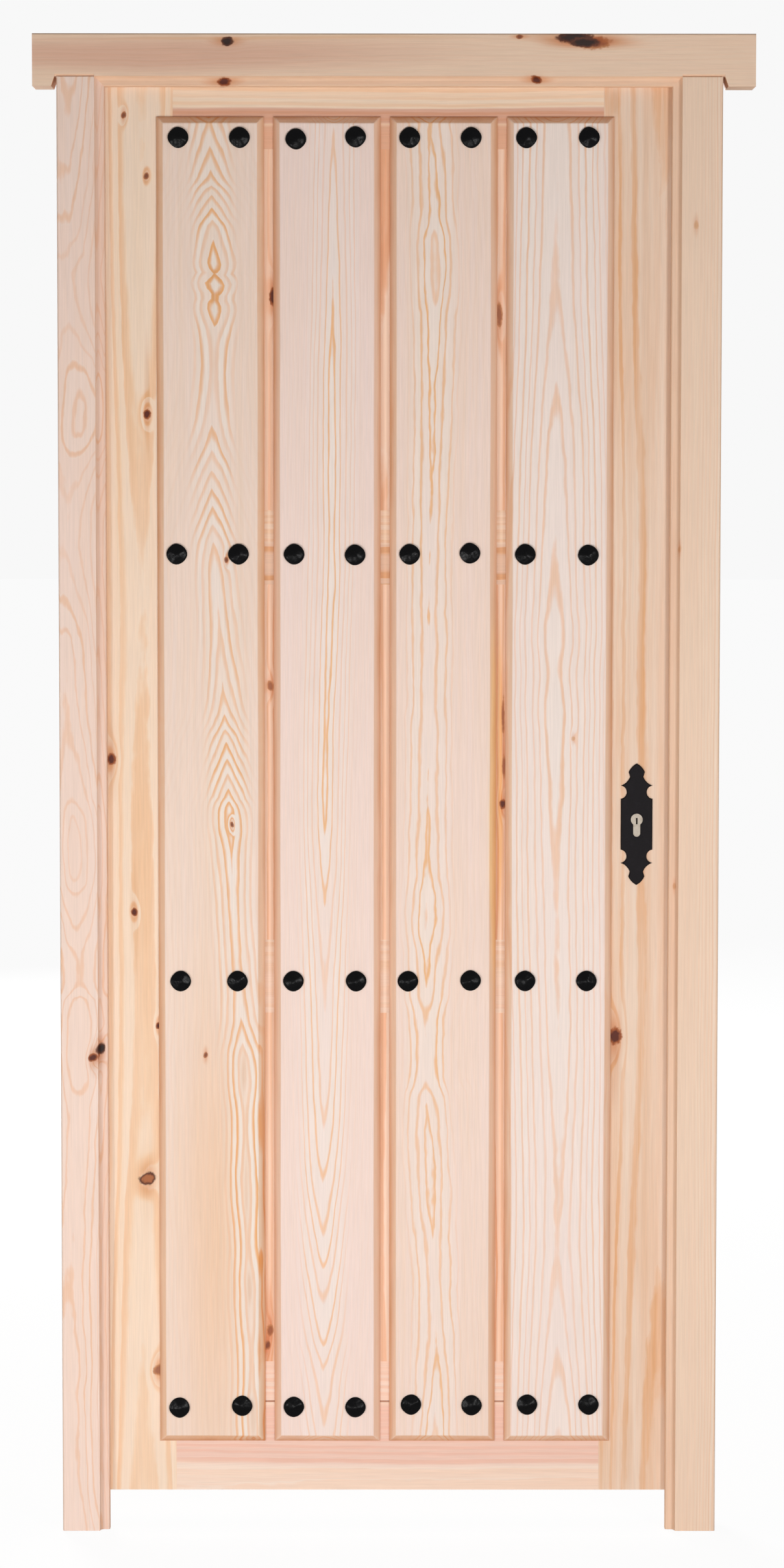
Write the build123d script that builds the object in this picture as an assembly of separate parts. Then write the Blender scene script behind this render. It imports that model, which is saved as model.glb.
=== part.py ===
from build123d import *
import os

# Front door of solid pine with its frame, for a wall opening.
# X runs right as seen from outside, Y from the outside to the inside, and Z up. Millimetres.
# The origin is on the floor, on the centre line of the doorway, in the plane of the frame's outer face.

# Leaf and the gaps round it
LEAF_WIDTH = 825.0
LEAF_HEIGHT = 2030.0
LEAF_THICKNESS = 45.0
FLOOR_GAP = 55.0
EDGE_GAP = 3.0
SEAT_GAP = 0.5
SIDE_OVERLAP = 10.5
TOP_OVERLAP = 11.0

# Frame
FRAME_DEPTH = 70.0
HINGE_JAMB_WIDTH = 67.5
LOCK_JAMB_WIDTH = 71.5
HEADER_HEIGHT = 74.0
HINGE_HORN = 34.0
LOCK_HORN = 46.0
COVE_WIDTH = 6.0
COVE_DEPTH = 10.0
LEDGE_WIDTH = 8.0
LEDGE_ARRIS = 2.5
STOP_DEPTH = 24.0
OUTER_ARRIS = 3.0
HOUSING_SIDE_GAP = 2.5
HOUSING_FLARE = 5.0
HOUSING_BEVEL = 3.0
JAMB_TOP_ARRIS = 1.2
JAMB_TENON_LENGTH = 38.0
JAMB_TENON_WIDTH = 30.0
JAMB_TENON_THICKNESS = 20.0

# Joinery of the leaf
STILE_WIDTH = 106.5
BOTTOM_RAIL_HEIGHT = 130.0
BOTTOM_STRIP_HEIGHT = 58.5
MID_RAIL_HEIGHT = 106.0
TOP_RAIL_HEIGHT = 98.0
LOWER_MID_RAIL_AT = 697.0
UPPER_MID_RAIL_AT = 1314.0
TENON_LENGTH = 60.0
TENON_THICKNESS = 14.0
TENON_SHOULDER = 12.0
JOINT_CLEARANCE = 0.1

# Infill boards behind the planks
BOARD_COUNT = 5
BOARD_THICKNESS = 22.0
BOARD_TONGUE_SETBACK = 7.0
BOARD_TONGUE_THICKNESS = 8.0
FRAME_TONGUE_LENGTH = 9.0
BOARD_TONGUE_LENGTH = 6.5
TONGUE_END_GAP = 1.0
V_JOINT = 3.0

# Bevelled planks nailed over the leaf
PLANK_COUNT = 4
PLANK_THICKNESS = 12.0
PLANK_EDGE = 2.0
PLANK_BEVEL = 12.0
PLANK_GAP = 8.4
PLANKS_FROM_HINGE_EDGE = 80.7
PLANKS_FROM_LOCK_EDGE = 89.1
PLANKS_ABOVE_LEAF_BOTTOM = 70.0
PLANKS_BELOW_LEAF_TOP = 50.0

# Forged nails
NAIL_HEAD_DIAMETER = 30.0
NAIL_HEAD_HEIGHT = 7.5
NAIL_RIM = 1.2
NAIL_SHANK_DIAMETER = 4.0
NAIL_SHANK_LENGTH = 42.0
NAIL_HOLE_CLEARANCE = 0.1
NAIL_FROM_PLANK_EDGE = 34.5
TOP_ROW_BELOW_PLANK_TOP = 32.5
UPPER_ROW_ABOVE_RAIL_EDGE = 43.5
LOWER_ROW_ABOVE_RAIL_EDGE = 47.5
BOTTOM_ROW_ABOVE_PLANK_BOTTOM = 56.0

# How far each hand-driven nail strays from its row, as (across, up): rows from the top, left nail then right
NAIL_STRAYS = [
    [[(0.8, 0.0), (-0.8, 0.0)], [(-2.8, 0.0), (-3.2, 0.0)],
     [(1.2, 0.0), (-5.8, 0.0)], [(-2.2, -2.5), (-0.2, 0.0)]],
    [[(1.8, -2.0), (-2.2, 1.0)], [(-1.2, 0.0), (-2.8, -1.0)],
     [(-2.8, 0.0), (-1.2, 0.0)], [(-2.8, -1.5), (-2.2, -2.0)]],
    [[(-2.8, 0.0), (-4.2, 0.0)], [(-2.2, 0.0), (-4.8, 1.5)],
     [(-4.2, 0.0), (-2.8, 1.0)], [(0.8, 2.0), (-0.2, 1.0)]],
    [[(-3.2, 0.0), (-2.8, 0.5)], [(-3.2, 0.0), (-1.8, -1.0)],
     [(-1.8, 0.5), (-2.2, 0.5)], [(2.8, 2.0), (3.2, 2.0)]],
]

# Butt hinges on the inside, left as seen from outside
HINGE_HEIGHT = 100.0
HINGE_END_DISTANCE = 250.0
HINGE_PLATE_THICKNESS = 2.5
HINGE_PLATE_WIDTH = 30.0
KNUCKLE_DIAMETER = 13.0
KNUCKLE_COUNT = 5
KNUCKLE_GAP = 0.3
PIN_DIAMETER = 7.0
PIN_HEAD_DIAMETER = 11.0
PIN_HEAD_HEIGHT = 4.0
PIN_RUNNING_FIT = 0.06
KNUCKLE_STANDOFF = 0.6
HINGE_SCREW_INSETS = (9.0, 20.0)
HINGE_SCREW_END_DISTANCE = 11.0
HINGE_INNER_SCREWS_APART = 30.0

# Wood screws
SCREW_DIAMETER = 4.0
SCREW_HEAD_DIAMETER = 7.6
SCREW_HEAD_DEPTH = 2.2
SCREW_LENGTH = 32.0
SCREW_CLEARANCE = 0.1

# Mortise deadlock
LOCK_ABOVE_MID_RAIL = 174.0
LOCK_BACKSET = 55.5
CASE_DEPTH = 78.0
CASE_HEIGHT = 150.0
CASE_THICKNESS = 16.0
CASE_WALL = 1.5
CASE_BELOW_AXIS = 55.0
FOREND_WIDTH = 24.0
FOREND_HEIGHT = 235.0
FOREND_THICKNESS = 3.0
BOLT_HEIGHT = 34.0
BOLT_THICKNESS = 12.0
BOLT_HEAD_LENGTH = 30.0
BOLT_TAIL_LENGTH = 40.0
BOLT_TAIL_THICKNESS = 7.0
BOLT_TAIL_STEP = 2.0
BOLT_ARRIS = 1.5
BOLT_THROW = 20.0
BOLT_ABOVE_AXIS = 36.0
BOLT_GUIDE_GAP = 0.3
GUIDE_STUD_DIAMETER = 6.0
GUIDE_STUD_BEHIND_HEAD = 8.0
THROUGH_HOLE_CLEARANCE = 0.5
STRIKE_WIDTH = 24.0
STRIKE_HEIGHT = 120.0
STRIKE_THICKNESS = 2.0
STRIKE_HOLE_MARGIN = 1.5
POCKET_DEPTH = 26.0

# Profile cylinder
CYLINDER_HEAD_DIAMETER = 17.0
CYLINDER_WEB_WIDTH = 10.0
CYLINDER_HEIGHT = 33.0
CYLINDER_STAND_OUT = 2.5
CYLINDER_HOLE_CLEARANCE = 0.3
PLUG_DIAMETER = 13.0
PLUG_RUNNING_FIT = 0.06
KEYWAY_WIDTH = 2.4
KEYWAY_HEIGHT = 9.0
KEYWAY_DEPTH = 22.0
CAM_WIDTH = 9.4
CAM_SLOT_WIDTH = 10.4
CAM_REACH = 15.0
CAM_LOBE_WIDTH = 7.0
CAM_REST_ANGLE = 30.0
CYLINDER_SCREW_DIAMETER = 5.0
CYLINDER_SCREW_ENGAGEMENT = 3.0

# Escutcheon plates
PLATE_THICKNESS = 3.0
PLATE_HALF_WIDTH = 22.7
PLATE_HALF_HEIGHT = 87.5
PLATE_HEAD_HALF_WIDTH = 11.5
PLATE_HEAD_AT = 75.2
PLATE_NECK_HALF_WIDTH = 9.5
PLATE_NECK_AT = 68.4
PLATE_SHOULDER_AT = 55.7
PLATE_NOTCH_HALF_WIDTH = 14.3
PLATE_NOTCH_END = 36.6
PLATE_TIP_FULLNESS = 0.62
PLATE_TIP_BULGE = 0.8
PLATE_SHOULDER_SAG = 1.5
PLATE_BEVEL = 1.4
PLATE_BELOW_AXIS = 7.0
PLATE_SCREW_AT = 74.0
PLATE_SCREW_DIAMETER = 3.6
PLATE_POST_DIAMETER = 7.0
PLATE_POST_LENGTH = 14.0
PLATE_SCREW_STOPS_SHORT = 3.0

# Lengths worked out from the sizes above
CYLINDER_HEAD_RADIUS = CYLINDER_HEAD_DIAMETER / 2
HALF_LEAF = LEAF_WIDTH / 2
HALF_DAYLIGHT = HALF_LEAF - SIDE_OVERLAP
LEAF_BOTTOM = FLOOR_GAP
LEAF_TOP = LEAF_BOTTOM + LEAF_HEIGHT
DAYLIGHT_TOP = LEAF_TOP - TOP_OVERLAP
REBATE = SIDE_OVERLAP + EDGE_GAP
MOULDING = COVE_WIDTH + LEDGE_WIDTH
HOUSING_TOP = DAYLIGHT_TOP + MOULDING
LEAF_FRONT = STOP_DEPTH + SEAT_GAP
LEAF_BACK = LEAF_FRONT + LEAF_THICKNESS
LEAF_MIDDLE = (LEAF_FRONT + LEAF_BACK) / 2
JAMB_WALL = HALF_DAYLIGHT + REBATE
HALF_INFILL = HALF_LEAF - STILE_WIDTH
BOARD_WIDTH = 2 * HALF_INFILL / BOARD_COUNT
GROOVE_DEPTH = FRAME_TONGUE_LENGTH + TONGUE_END_GAP
TONGUE_FRONT = LEAF_FRONT + BOARD_TONGUE_SETBACK
TONGUE_BACK = TONGUE_FRONT + BOARD_TONGUE_THICKNESS
PLANK_FACE = LEAF_FRONT - PLANK_THICKNESS
PLANKS_LEFT = -HALF_LEAF + PLANKS_FROM_HINGE_EDGE
PLANKS_SPAN = LEAF_WIDTH - PLANKS_FROM_HINGE_EDGE - PLANKS_FROM_LOCK_EDGE
PLANK_PITCH = (PLANKS_SPAN + PLANK_GAP) / PLANK_COUNT
PLANK_WIDTH = PLANK_PITCH - PLANK_GAP
PLANK_BOTTOM = LEAF_BOTTOM + PLANKS_ABOVE_LEAF_BOTTOM
PLANK_TOP = LEAF_TOP - PLANKS_BELOW_LEAF_TOP
PLANK_LENGTH = PLANK_TOP - PLANK_BOTTOM
NAIL_ROW_HEIGHTS = [
    PLANK_TOP - TOP_ROW_BELOW_PLANK_TOP,
    LEAF_BOTTOM + UPPER_MID_RAIL_AT + UPPER_ROW_ABOVE_RAIL_EDGE,
    LEAF_BOTTOM + LOWER_MID_RAIL_AT + LOWER_ROW_ABOVE_RAIL_EDGE,
    PLANK_BOTTOM + BOTTOM_ROW_ABOVE_PLANK_BOTTOM,
]
LOCK_X = HALF_LEAF - LOCK_BACKSET
LOCK_Z = LEAF_BOTTOM + LOWER_MID_RAIL_AT + MID_RAIL_HEIGHT + LOCK_ABOVE_MID_RAIL
BOLT_Z = LOCK_Z + BOLT_ABOVE_AXIS
PLATE_Z = LOCK_Z - PLATE_BELOW_AXIS
HINGE_X = -(HALF_LEAF + EDGE_GAP / 2)
HINGE_Y = FRAME_DEPTH + KNUCKLE_DIAMETER / 2 + KNUCKLE_STANDOFF
FOREND_FRONT = HALF_LEAF
CASE_FRONT = FOREND_FRONT - FOREND_THICKNESS
CASE_BACK = CASE_FRONT - CASE_DEPTH
CASE_BOTTOM = LOCK_Z - CASE_BELOW_AXIS

# Cross pieces of the leaf from the bottom up: name, lower edge, height, grooved below, grooved above
CROSS_PIECES = [
    ("bottom_rail", LEAF_BOTTOM, BOTTOM_RAIL_HEIGHT, False, False),
    ("bottom_strip", LEAF_BOTTOM + BOTTOM_RAIL_HEIGHT, BOTTOM_STRIP_HEIGHT, False, True),
    ("lower_mid_rail", LEAF_BOTTOM + LOWER_MID_RAIL_AT, MID_RAIL_HEIGHT, True, True),
    ("upper_mid_rail", LEAF_BOTTOM + UPPER_MID_RAIL_AT, MID_RAIL_HEIGHT, True, True),
    ("top_rail", LEAF_TOP - TOP_RAIL_HEIGHT, TOP_RAIL_HEIGHT, True, False),
]
BAY_NAMES = ["lower", "middle", "upper"]
HINGE_CENTRES = {
    "lower": LEAF_BOTTOM + HINGE_END_DISTANCE,
    "middle": LEAF_BOTTOM + LEAF_HEIGHT / 2,
    "upper": LEAF_TOP - HINGE_END_DISTANCE,
}

pieces = {}


def block(x0, x1, y0, y1, z0, z1):
    """A plain block between two corners."""
    return Pos((x0 + x1) / 2, (y0 + y1) / 2, (z0 + z1) / 2) * Box(x1 - x0, y1 - y0, z1 - z0)


def rod(start, direction, radius, length):
    """A round rod from a start point along a direction."""
    return Plane(origin=start, z_dir=direction) * Cylinder(
        radius, length, align=(Align.CENTER, Align.CENTER, Align.MIN))


def prism_xz(points, y0, y1):
    """A prism with its outline in the plane of the door, between two depths."""
    outline = make_face(Polyline(*[(x, 0, z) for x, z in points], close=True))
    return Pos(0, y0, 0) * extrude(outline, y1 - y0, dir=(0, 1, 0))


# Frame

def frame_section(width):
    """Section of a frame member: outwards from the daylight edge, then from the outer face inwards."""
    outline = [
        Line((0, STOP_DEPTH), (0, COVE_DEPTH + LEDGE_ARRIS)),
        CenterArc((LEDGE_ARRIS, COVE_DEPTH + LEDGE_ARRIS), LEDGE_ARRIS, 180, 90),
        Line((LEDGE_ARRIS, COVE_DEPTH), (LEDGE_WIDTH, COVE_DEPTH)),
        EllipticalCenterArc((LEDGE_WIDTH, 0), COVE_WIDTH, COVE_DEPTH, 0, arc_size=90),
        Line((MOULDING, 0), (width - OUTER_ARRIS, 0)),
        CenterArc((width - OUTER_ARRIS, OUTER_ARRIS), OUTER_ARRIS, 270, 90),
        Polyline((width, OUTER_ARRIS), (width, FRAME_DEPTH), (REBATE, FRAME_DEPTH),
                 (REBATE, STOP_DEPTH), (0, STOP_DEPTH)),
    ]
    return make_face(outline)


def jamb_tenon(width, clearance=0.0):
    """The tenon on a right-hand jamb's top, or the space for it."""
    centre_x = HALF_DAYLIGHT + REBATE + (width - REBATE) / 2
    half_w = JAMB_TENON_WIDTH / 2 + clearance
    half_t = JAMB_TENON_THICKNESS / 2 + clearance
    middle = (STOP_DEPTH + FRAME_DEPTH) / 2
    return block(centre_x - half_w, centre_x + half_w, middle - half_t, middle + half_t,
                 HOUSING_TOP, HOUSING_TOP + JAMB_TENON_LENGTH + clearance)


def housing_groove(width, rise):
    """Half of the V-groove where a right-hand jamb meets the header; rise is negative below the joint."""
    section = make_face(Polyline((0, 0, HOUSING_TOP), (0, 0, HOUSING_TOP + rise),
                                 (0, abs(rise), HOUSING_TOP), close=True))
    reach = width - MOULDING + HOUSING_SIDE_GAP
    return Pos(HALF_DAYLIGHT + MOULDING, 0, 0) * extrude(section, reach, dir=(1, 0, 0))


def right_jamb(width):
    """A jamb for the right-hand side, mitred at the top of its moulding."""
    jamb = extrude(Pos(HALF_DAYLIGHT, 0, 0) * frame_section(width), HOUSING_TOP)
    mitre = prism_xz([(HALF_DAYLIGHT, DAYLIGHT_TOP), (HALF_DAYLIGHT + MOULDING, HOUSING_TOP),
                      (HALF_DAYLIGHT, HOUSING_TOP)], 0, FRAME_DEPTH)
    arris = housing_groove(width, -JAMB_TOP_ARRIS)
    return jamb - mitre - arris + jamb_tenon(width)


def header_end(width, horn):
    """What the right-hand end of the header loses below the housing line, and its horn."""
    end = HALF_DAYLIGHT + width + horn
    jamb_face = HALF_DAYLIGHT + width
    cut = prism_xz([(HALF_DAYLIGHT, DAYLIGHT_TOP), (HALF_DAYLIGHT + MOULDING, HOUSING_TOP),
                    (end, HOUSING_TOP), (end, DAYLIGHT_TOP)], 0, FRAME_DEPTH)
    lug_start = jamb_face + HOUSING_SIDE_GAP
    lug = prism_xz([(lug_start + HOUSING_FLARE, DAYLIGHT_TOP), (end, DAYLIGHT_TOP),
                    (end, HOUSING_TOP), (lug_start, HOUSING_TOP)], 0, FRAME_DEPTH)
    return cut + housing_groove(width, HOUSING_BEVEL), lug


def make_header():
    """The header: moulded between the jambs, housed over them, with a horn at each end."""
    left_end = HALF_DAYLIGHT + HINGE_JAMB_WIDTH + HINGE_HORN
    right_end = HALF_DAYLIGHT + LOCK_JAMB_WIDTH + LOCK_HORN
    across = Plane(origin=(right_end, 0, DAYLIGHT_TOP), x_dir=(0, 0, 1), z_dir=(-1, 0, 0))
    header = extrude(across * frame_section(HEADER_HEIGHT), left_end + right_end)
    lock_cut, lock_lug = header_end(LOCK_JAMB_WIDTH, LOCK_HORN)
    hinge_cut, hinge_lug = header_end(HINGE_JAMB_WIDTH, HINGE_HORN)
    header = header - lock_cut - mirror(hinge_cut, about=Plane.YZ)
    header = header + lock_lug + mirror(hinge_lug, about=Plane.YZ)
    header -= jamb_tenon(LOCK_JAMB_WIDTH, JOINT_CLEARANCE)
    header -= mirror(jamb_tenon(HINGE_JAMB_WIDTH, JOINT_CLEARANCE), about=Plane.YZ)
    return header


# Leaf

def tenon(lower, height, side, clearance=0.0):
    """The tenon of a cross piece on one side, or its mortise; side is -1 left or 1 right."""
    root = side * HALF_INFILL
    tip = side * (HALF_INFILL + TENON_LENGTH + clearance)
    half_t = TENON_THICKNESS / 2 + clearance
    return block(min(root, tip), max(root, tip), LEAF_MIDDLE - half_t, LEAF_MIDDLE + half_t,
                 lower + TENON_SHOULDER - clearance, lower + height - TENON_SHOULDER + clearance)


def bays():
    """The lower and upper edge of each bay that the infill boards close."""
    return [(low[1] + low[2], high[1]) for low, high in zip(CROSS_PIECES[1:], CROSS_PIECES[2:])]


def make_cross_piece(lower, height, groove_below, groove_above):
    """A rail with its two tenons and the grooves that hold the boards."""
    rail = block(-HALF_INFILL, HALF_INFILL, LEAF_FRONT, LEAF_BACK, lower, lower + height)
    rail += tenon(lower, height, -1)
    rail += tenon(lower, height, 1)
    if groove_below:
        rail -= block(-HALF_INFILL, HALF_INFILL, TONGUE_FRONT - JOINT_CLEARANCE,
                      TONGUE_BACK + JOINT_CLEARANCE, lower, lower + GROOVE_DEPTH)
    if groove_above:
        rail -= block(-HALF_INFILL, HALF_INFILL, TONGUE_FRONT - JOINT_CLEARANCE,
                      TONGUE_BACK + JOINT_CLEARANCE, lower + height - GROOVE_DEPTH, lower + height)
    return rail


def make_stile(side):
    """A stile with its mortises and board grooves; side is -1 left or 1 right."""
    inner, outer = side * HALF_INFILL, side * HALF_LEAF
    stile = block(min(inner, outer), max(inner, outer), LEAF_FRONT, LEAF_BACK, LEAF_BOTTOM, LEAF_TOP)
    for _, lower, height, _, _ in CROSS_PIECES:
        stile -= tenon(lower, height, side, JOINT_CLEARANCE)
    groove_end = side * (HALF_INFILL + GROOVE_DEPTH)
    for low, high in bays():
        stile -= block(min(inner, groove_end), max(inner, groove_end), TONGUE_FRONT - JOINT_CLEARANCE,
                       TONGUE_BACK + JOINT_CLEARANCE, low, high)
    return stile


def make_board(index, low, high):
    """An infill board, tongued into the frame of the leaf and into its neighbours."""
    x0 = -HALF_INFILL + index * BOARD_WIDTH
    x1 = x0 + BOARD_WIDTH
    back = LEAF_FRONT + BOARD_THICKNESS
    first, last = index == 0, index == BOARD_COUNT - 1
    board = block(x0, x1, LEAF_FRONT, back, low, high)
    board += block(x0, x1, TONGUE_FRONT, TONGUE_BACK, low - FRAME_TONGUE_LENGTH, high + FRAME_TONGUE_LENGTH)
    right_tongue = FRAME_TONGUE_LENGTH if last else BOARD_TONGUE_LENGTH
    board += block(x1, x1 + right_tongue, TONGUE_FRONT, TONGUE_BACK, low, high)
    if first:
        board += block(x0 - FRAME_TONGUE_LENGTH, x0, TONGUE_FRONT, TONGUE_BACK, low, high)
    else:
        board -= block(x0, x0 + BOARD_TONGUE_LENGTH + TONGUE_END_GAP, TONGUE_FRONT - JOINT_CLEARANCE,
                       TONGUE_BACK + JOINT_CLEARANCE, low, high)
    arrises = board.edges().filter_by(Axis.Z).filter_by_position(Axis.Y, back - 0.01, back + 0.01)
    return chamfer(arrises, V_JOINT)


# Planks and nails

def plank_centre(index):
    """Where a plank's centre line lies across the door."""
    return PLANKS_LEFT + PLANK_WIDTH / 2 + index * PLANK_PITCH


def make_plank(index):
    """A plank with a wide bevel all round its outer face."""
    x, z = plank_centre(index), (PLANK_BOTTOM + PLANK_TOP) / 2
    foot = Plane(origin=(x, LEAF_FRONT - PLANK_EDGE, z), x_dir=(1, 0, 0), z_dir=(0, -1, 0))
    face = foot.offset(PLANK_THICKNESS - PLANK_EDGE)
    bevelled = loft([foot * Rectangle(PLANK_WIDTH, PLANK_LENGTH),
                     face * Rectangle(PLANK_WIDTH - 2 * PLANK_BEVEL, PLANK_LENGTH - 2 * PLANK_BEVEL)])
    edge = extrude(foot * Rectangle(PLANK_WIDTH, PLANK_LENGTH), -PLANK_EDGE)
    return bevelled + edge


def nail_places(index):
    """Where the nails of a plank go, across and up: a pair in each row."""
    half_pair = PLANK_WIDTH / 2 - NAIL_FROM_PLANK_EDGE
    places = []
    for height, strays in zip(NAIL_ROW_HEIGHTS, NAIL_STRAYS[index]):
        for side, (across, up) in zip((-1, 1), strays):
            places.append((plank_centre(index) + side * half_pair + across, height + up))
    return places


def nail_profile():
    """Half of a nail's section: a round shank under a low domed head with a thin rim."""
    head_r, shank_r = NAIL_HEAD_DIAMETER / 2, NAIL_SHANK_DIAMETER / 2
    rise = NAIL_HEAD_HEIGHT - NAIL_RIM
    sphere_r = (head_r ** 2 + rise ** 2) / (2 * rise)
    crown = RadiusArc((head_r, NAIL_RIM), (0, NAIL_HEAD_HEIGHT), -sphere_r)
    sides = Polyline((0, NAIL_HEAD_HEIGHT), (0, -NAIL_SHANK_LENGTH), (shank_r, -NAIL_SHANK_LENGTH),
                     (shank_r, 0), (head_r, 0), (head_r, NAIL_RIM))
    return make_face([crown, sides])


def make_nails(index):
    """The nails of one plank, each standing on the plank's face."""
    nail = revolve(nail_profile(), Axis.Y)
    return [Pos(x, PLANK_FACE, z) * Rot(0, 0, 180) * nail for x, z in nail_places(index)]


def nail_hole(x, z):
    """The hole that a nail's shank fills."""
    radius = NAIL_SHANK_DIAMETER / 2 + NAIL_HOLE_CLEARANCE
    return rod((x, PLANK_FACE, z), (0, 1, 0), radius, NAIL_SHANK_LENGTH + NAIL_HOLE_CLEARANCE)


def drill_for_nails(piece):
    """A piece of the leaf with the holes of the nails that reach it."""
    extent = piece.bounding_box()
    for x, z in [place for index in range(PLANK_COUNT) for place in nail_places(index)]:
        across = extent.min.X - NAIL_SHANK_DIAMETER < x < extent.max.X + NAIL_SHANK_DIAMETER
        up = extent.min.Z - NAIL_SHANK_DIAMETER < z < extent.max.Z + NAIL_SHANK_DIAMETER
        if across and up:
            piece -= nail_hole(x, z)
    return piece


# Screws

def make_screw(seat, direction, length=SCREW_LENGTH, diameter=SCREW_DIAMETER, clearance=0.0):
    """A countersunk screw, or the hole for it: seat is the centre of the head's flat face."""
    head_r = diameter / 2 * SCREW_HEAD_DIAMETER / SCREW_DIAMETER + clearance
    depth = SCREW_HEAD_DEPTH
    plane = Plane(origin=seat, z_dir=direction)
    head = plane * Pos(0, 0, depth / 2) * Cone(head_r, diameter / 2 + clearance, depth)
    return head + rod(seat, direction, diameter / 2 + clearance, length + clearance)


# Hinges

def hinge_screw_places(centre):
    """Depth and height of the four screws of one hinge plate, in two staggered columns."""
    near, far = HINGE_SCREW_INSETS
    outer = HINGE_HEIGHT / 2 - HINGE_SCREW_END_DISTANCE
    inner = HINGE_INNER_SCREWS_APART / 2
    rows = [(far, outer), (near, inner), (near, -inner), (far, -outer)]
    return [(LEAF_BACK - inset, centre + up) for inset, up in rows]


def hinge_plate_block(side, centre, clearance=0.0):
    """A hinge plate let in flush: side is -1 on the jamb and 1 on the leaf."""
    face = -JAMB_WALL if side < 0 else -HALF_LEAF
    deep = face + side * (HINGE_PLATE_THICKNESS + clearance)
    half_h = HINGE_HEIGHT / 2 + clearance
    back = HINGE_Y if clearance == 0 else HINGE_Y + KNUCKLE_DIAMETER
    return block(min(face, deep), max(face, deep), LEAF_BACK - HINGE_PLATE_WIDTH - clearance, back,
                 centre - half_h, centre + half_h)


def make_hinge_half(side, centre):
    """One plate with its knuckles: the jamb's half has the end knuckles."""
    step = HINGE_HEIGHT / KNUCKLE_COUNT
    bottom = centre - HINGE_HEIGHT / 2
    half = hinge_plate_block(side, centre)
    for number in range(KNUCKLE_COUNT):
        low, high = bottom + number * step, bottom + (number + 1) * step
        on_jamb = number % 2 == 0
        if on_jamb == (side < 0):
            length = step - KNUCKLE_GAP
            half += rod((HINGE_X, HINGE_Y, low + KNUCKLE_GAP / 2), (0, 0, 1), KNUCKLE_DIAMETER / 2, length)
        else:
            clear = KNUCKLE_DIAMETER / 2 + KNUCKLE_STANDOFF
            half -= rod((HINGE_X, HINGE_Y, low - KNUCKLE_GAP / 2), (0, 0, 1), clear, step + KNUCKLE_GAP)
    bore = PIN_DIAMETER / 2 + PIN_RUNNING_FIT
    half -= rod((HINGE_X, HINGE_Y, bottom), (0, 0, 1), bore, HINGE_HEIGHT)
    face = -JAMB_WALL if side < 0 else -HALF_LEAF
    for y, z in hinge_screw_places(centre):
        half -= make_screw((face, y, z), (side, 0, 0), clearance=SCREW_CLEARANCE)
    return half


def make_hinge_pin(centre):
    """A headed pin through all the knuckles of one hinge."""
    bottom, top = centre - HINGE_HEIGHT / 2, centre + HINGE_HEIGHT / 2
    pin = rod((HINGE_X, HINGE_Y, bottom), (0, 0, 1), PIN_DIAMETER / 2, HINGE_HEIGHT)
    head = rod((HINGE_X, HINGE_Y, top), (0, 0, 1), PIN_HEAD_DIAMETER / 2, PIN_HEAD_HEIGHT)
    return pin + chamfer(head.edges().sort_by(Axis.Z)[-1], PIN_HEAD_HEIGHT / 3)


def make_hinge_screws(side):
    """The screws of all the hinge plates on one side."""
    face = -JAMB_WALL if side < 0 else -HALF_LEAF
    return [make_screw((face, y, z), (side, 0, 0))
            for centre in HINGE_CENTRES.values() for y, z in hinge_screw_places(centre)]


# Deadlock and cylinder

def cylinder_outline(clearance=0.0):
    """The keyhole-shaped section of a profile cylinder, centred on the plug."""
    radius = CYLINDER_HEAD_RADIUS
    web_end = CYLINDER_HEIGHT - radius - CYLINDER_WEB_WIDTH / 2
    head = Circle(radius + clearance)
    web = Pos(0, -web_end / 2) * Rectangle(CYLINDER_WEB_WIDTH + 2 * clearance, web_end)
    foot = Pos(0, -web_end) * Circle(CYLINDER_WEB_WIDTH / 2 + clearance)
    return head + web + foot


def cylinder_prism(y0, y1, clearance=0.0):
    """The cylinder's section between two depths, at the lock's axis."""
    plane = Plane(origin=(LOCK_X, y0, LOCK_Z), x_dir=(-1, 0, 0), z_dir=(0, 1, 0))
    return extrude(plane * cylinder_outline(clearance), y1 - y0)


def cylinder_ends():
    """The outer and inner end of the cylinder, just proud of both plates."""
    return (LEAF_FRONT - PLATE_THICKNESS - CYLINDER_STAND_OUT,
            LEAF_BACK + PLATE_THICKNESS + CYLINDER_STAND_OUT)


def cylinder_screw(clearance=0.0):
    """The long screw that holds the cylinder, driven through the forend."""
    low = LOCK_Z - (CYLINDER_HEIGHT - CYLINDER_HEAD_RADIUS - CYLINDER_WEB_WIDTH / 2)
    length = LOCK_BACKSET + CYLINDER_SCREW_ENGAGEMENT
    seat = (FOREND_FRONT, LEAF_MIDDLE, low)
    return make_screw(seat, (-1, 0, 0), length, CYLINDER_SCREW_DIAMETER, clearance)


def make_cylinder_body():
    """The cylinder's housing, bored for the plugs and slotted in the middle for the cam."""
    outer, inner = cylinder_ends()
    body = cylinder_prism(outer, inner)
    body -= rod((LOCK_X, outer, LOCK_Z), (0, 1, 0), PLUG_DIAMETER / 2 + PLUG_RUNNING_FIT, inner - outer)
    half = CAM_SLOT_WIDTH / 2
    slot = rod((LOCK_X, LEAF_MIDDLE - half, LOCK_Z), (0, 1, 0), CAM_REACH + CYLINDER_HOLE_CLEARANCE, 2 * half)
    return body - slot - cylinder_screw(SCREW_CLEARANCE)


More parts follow.
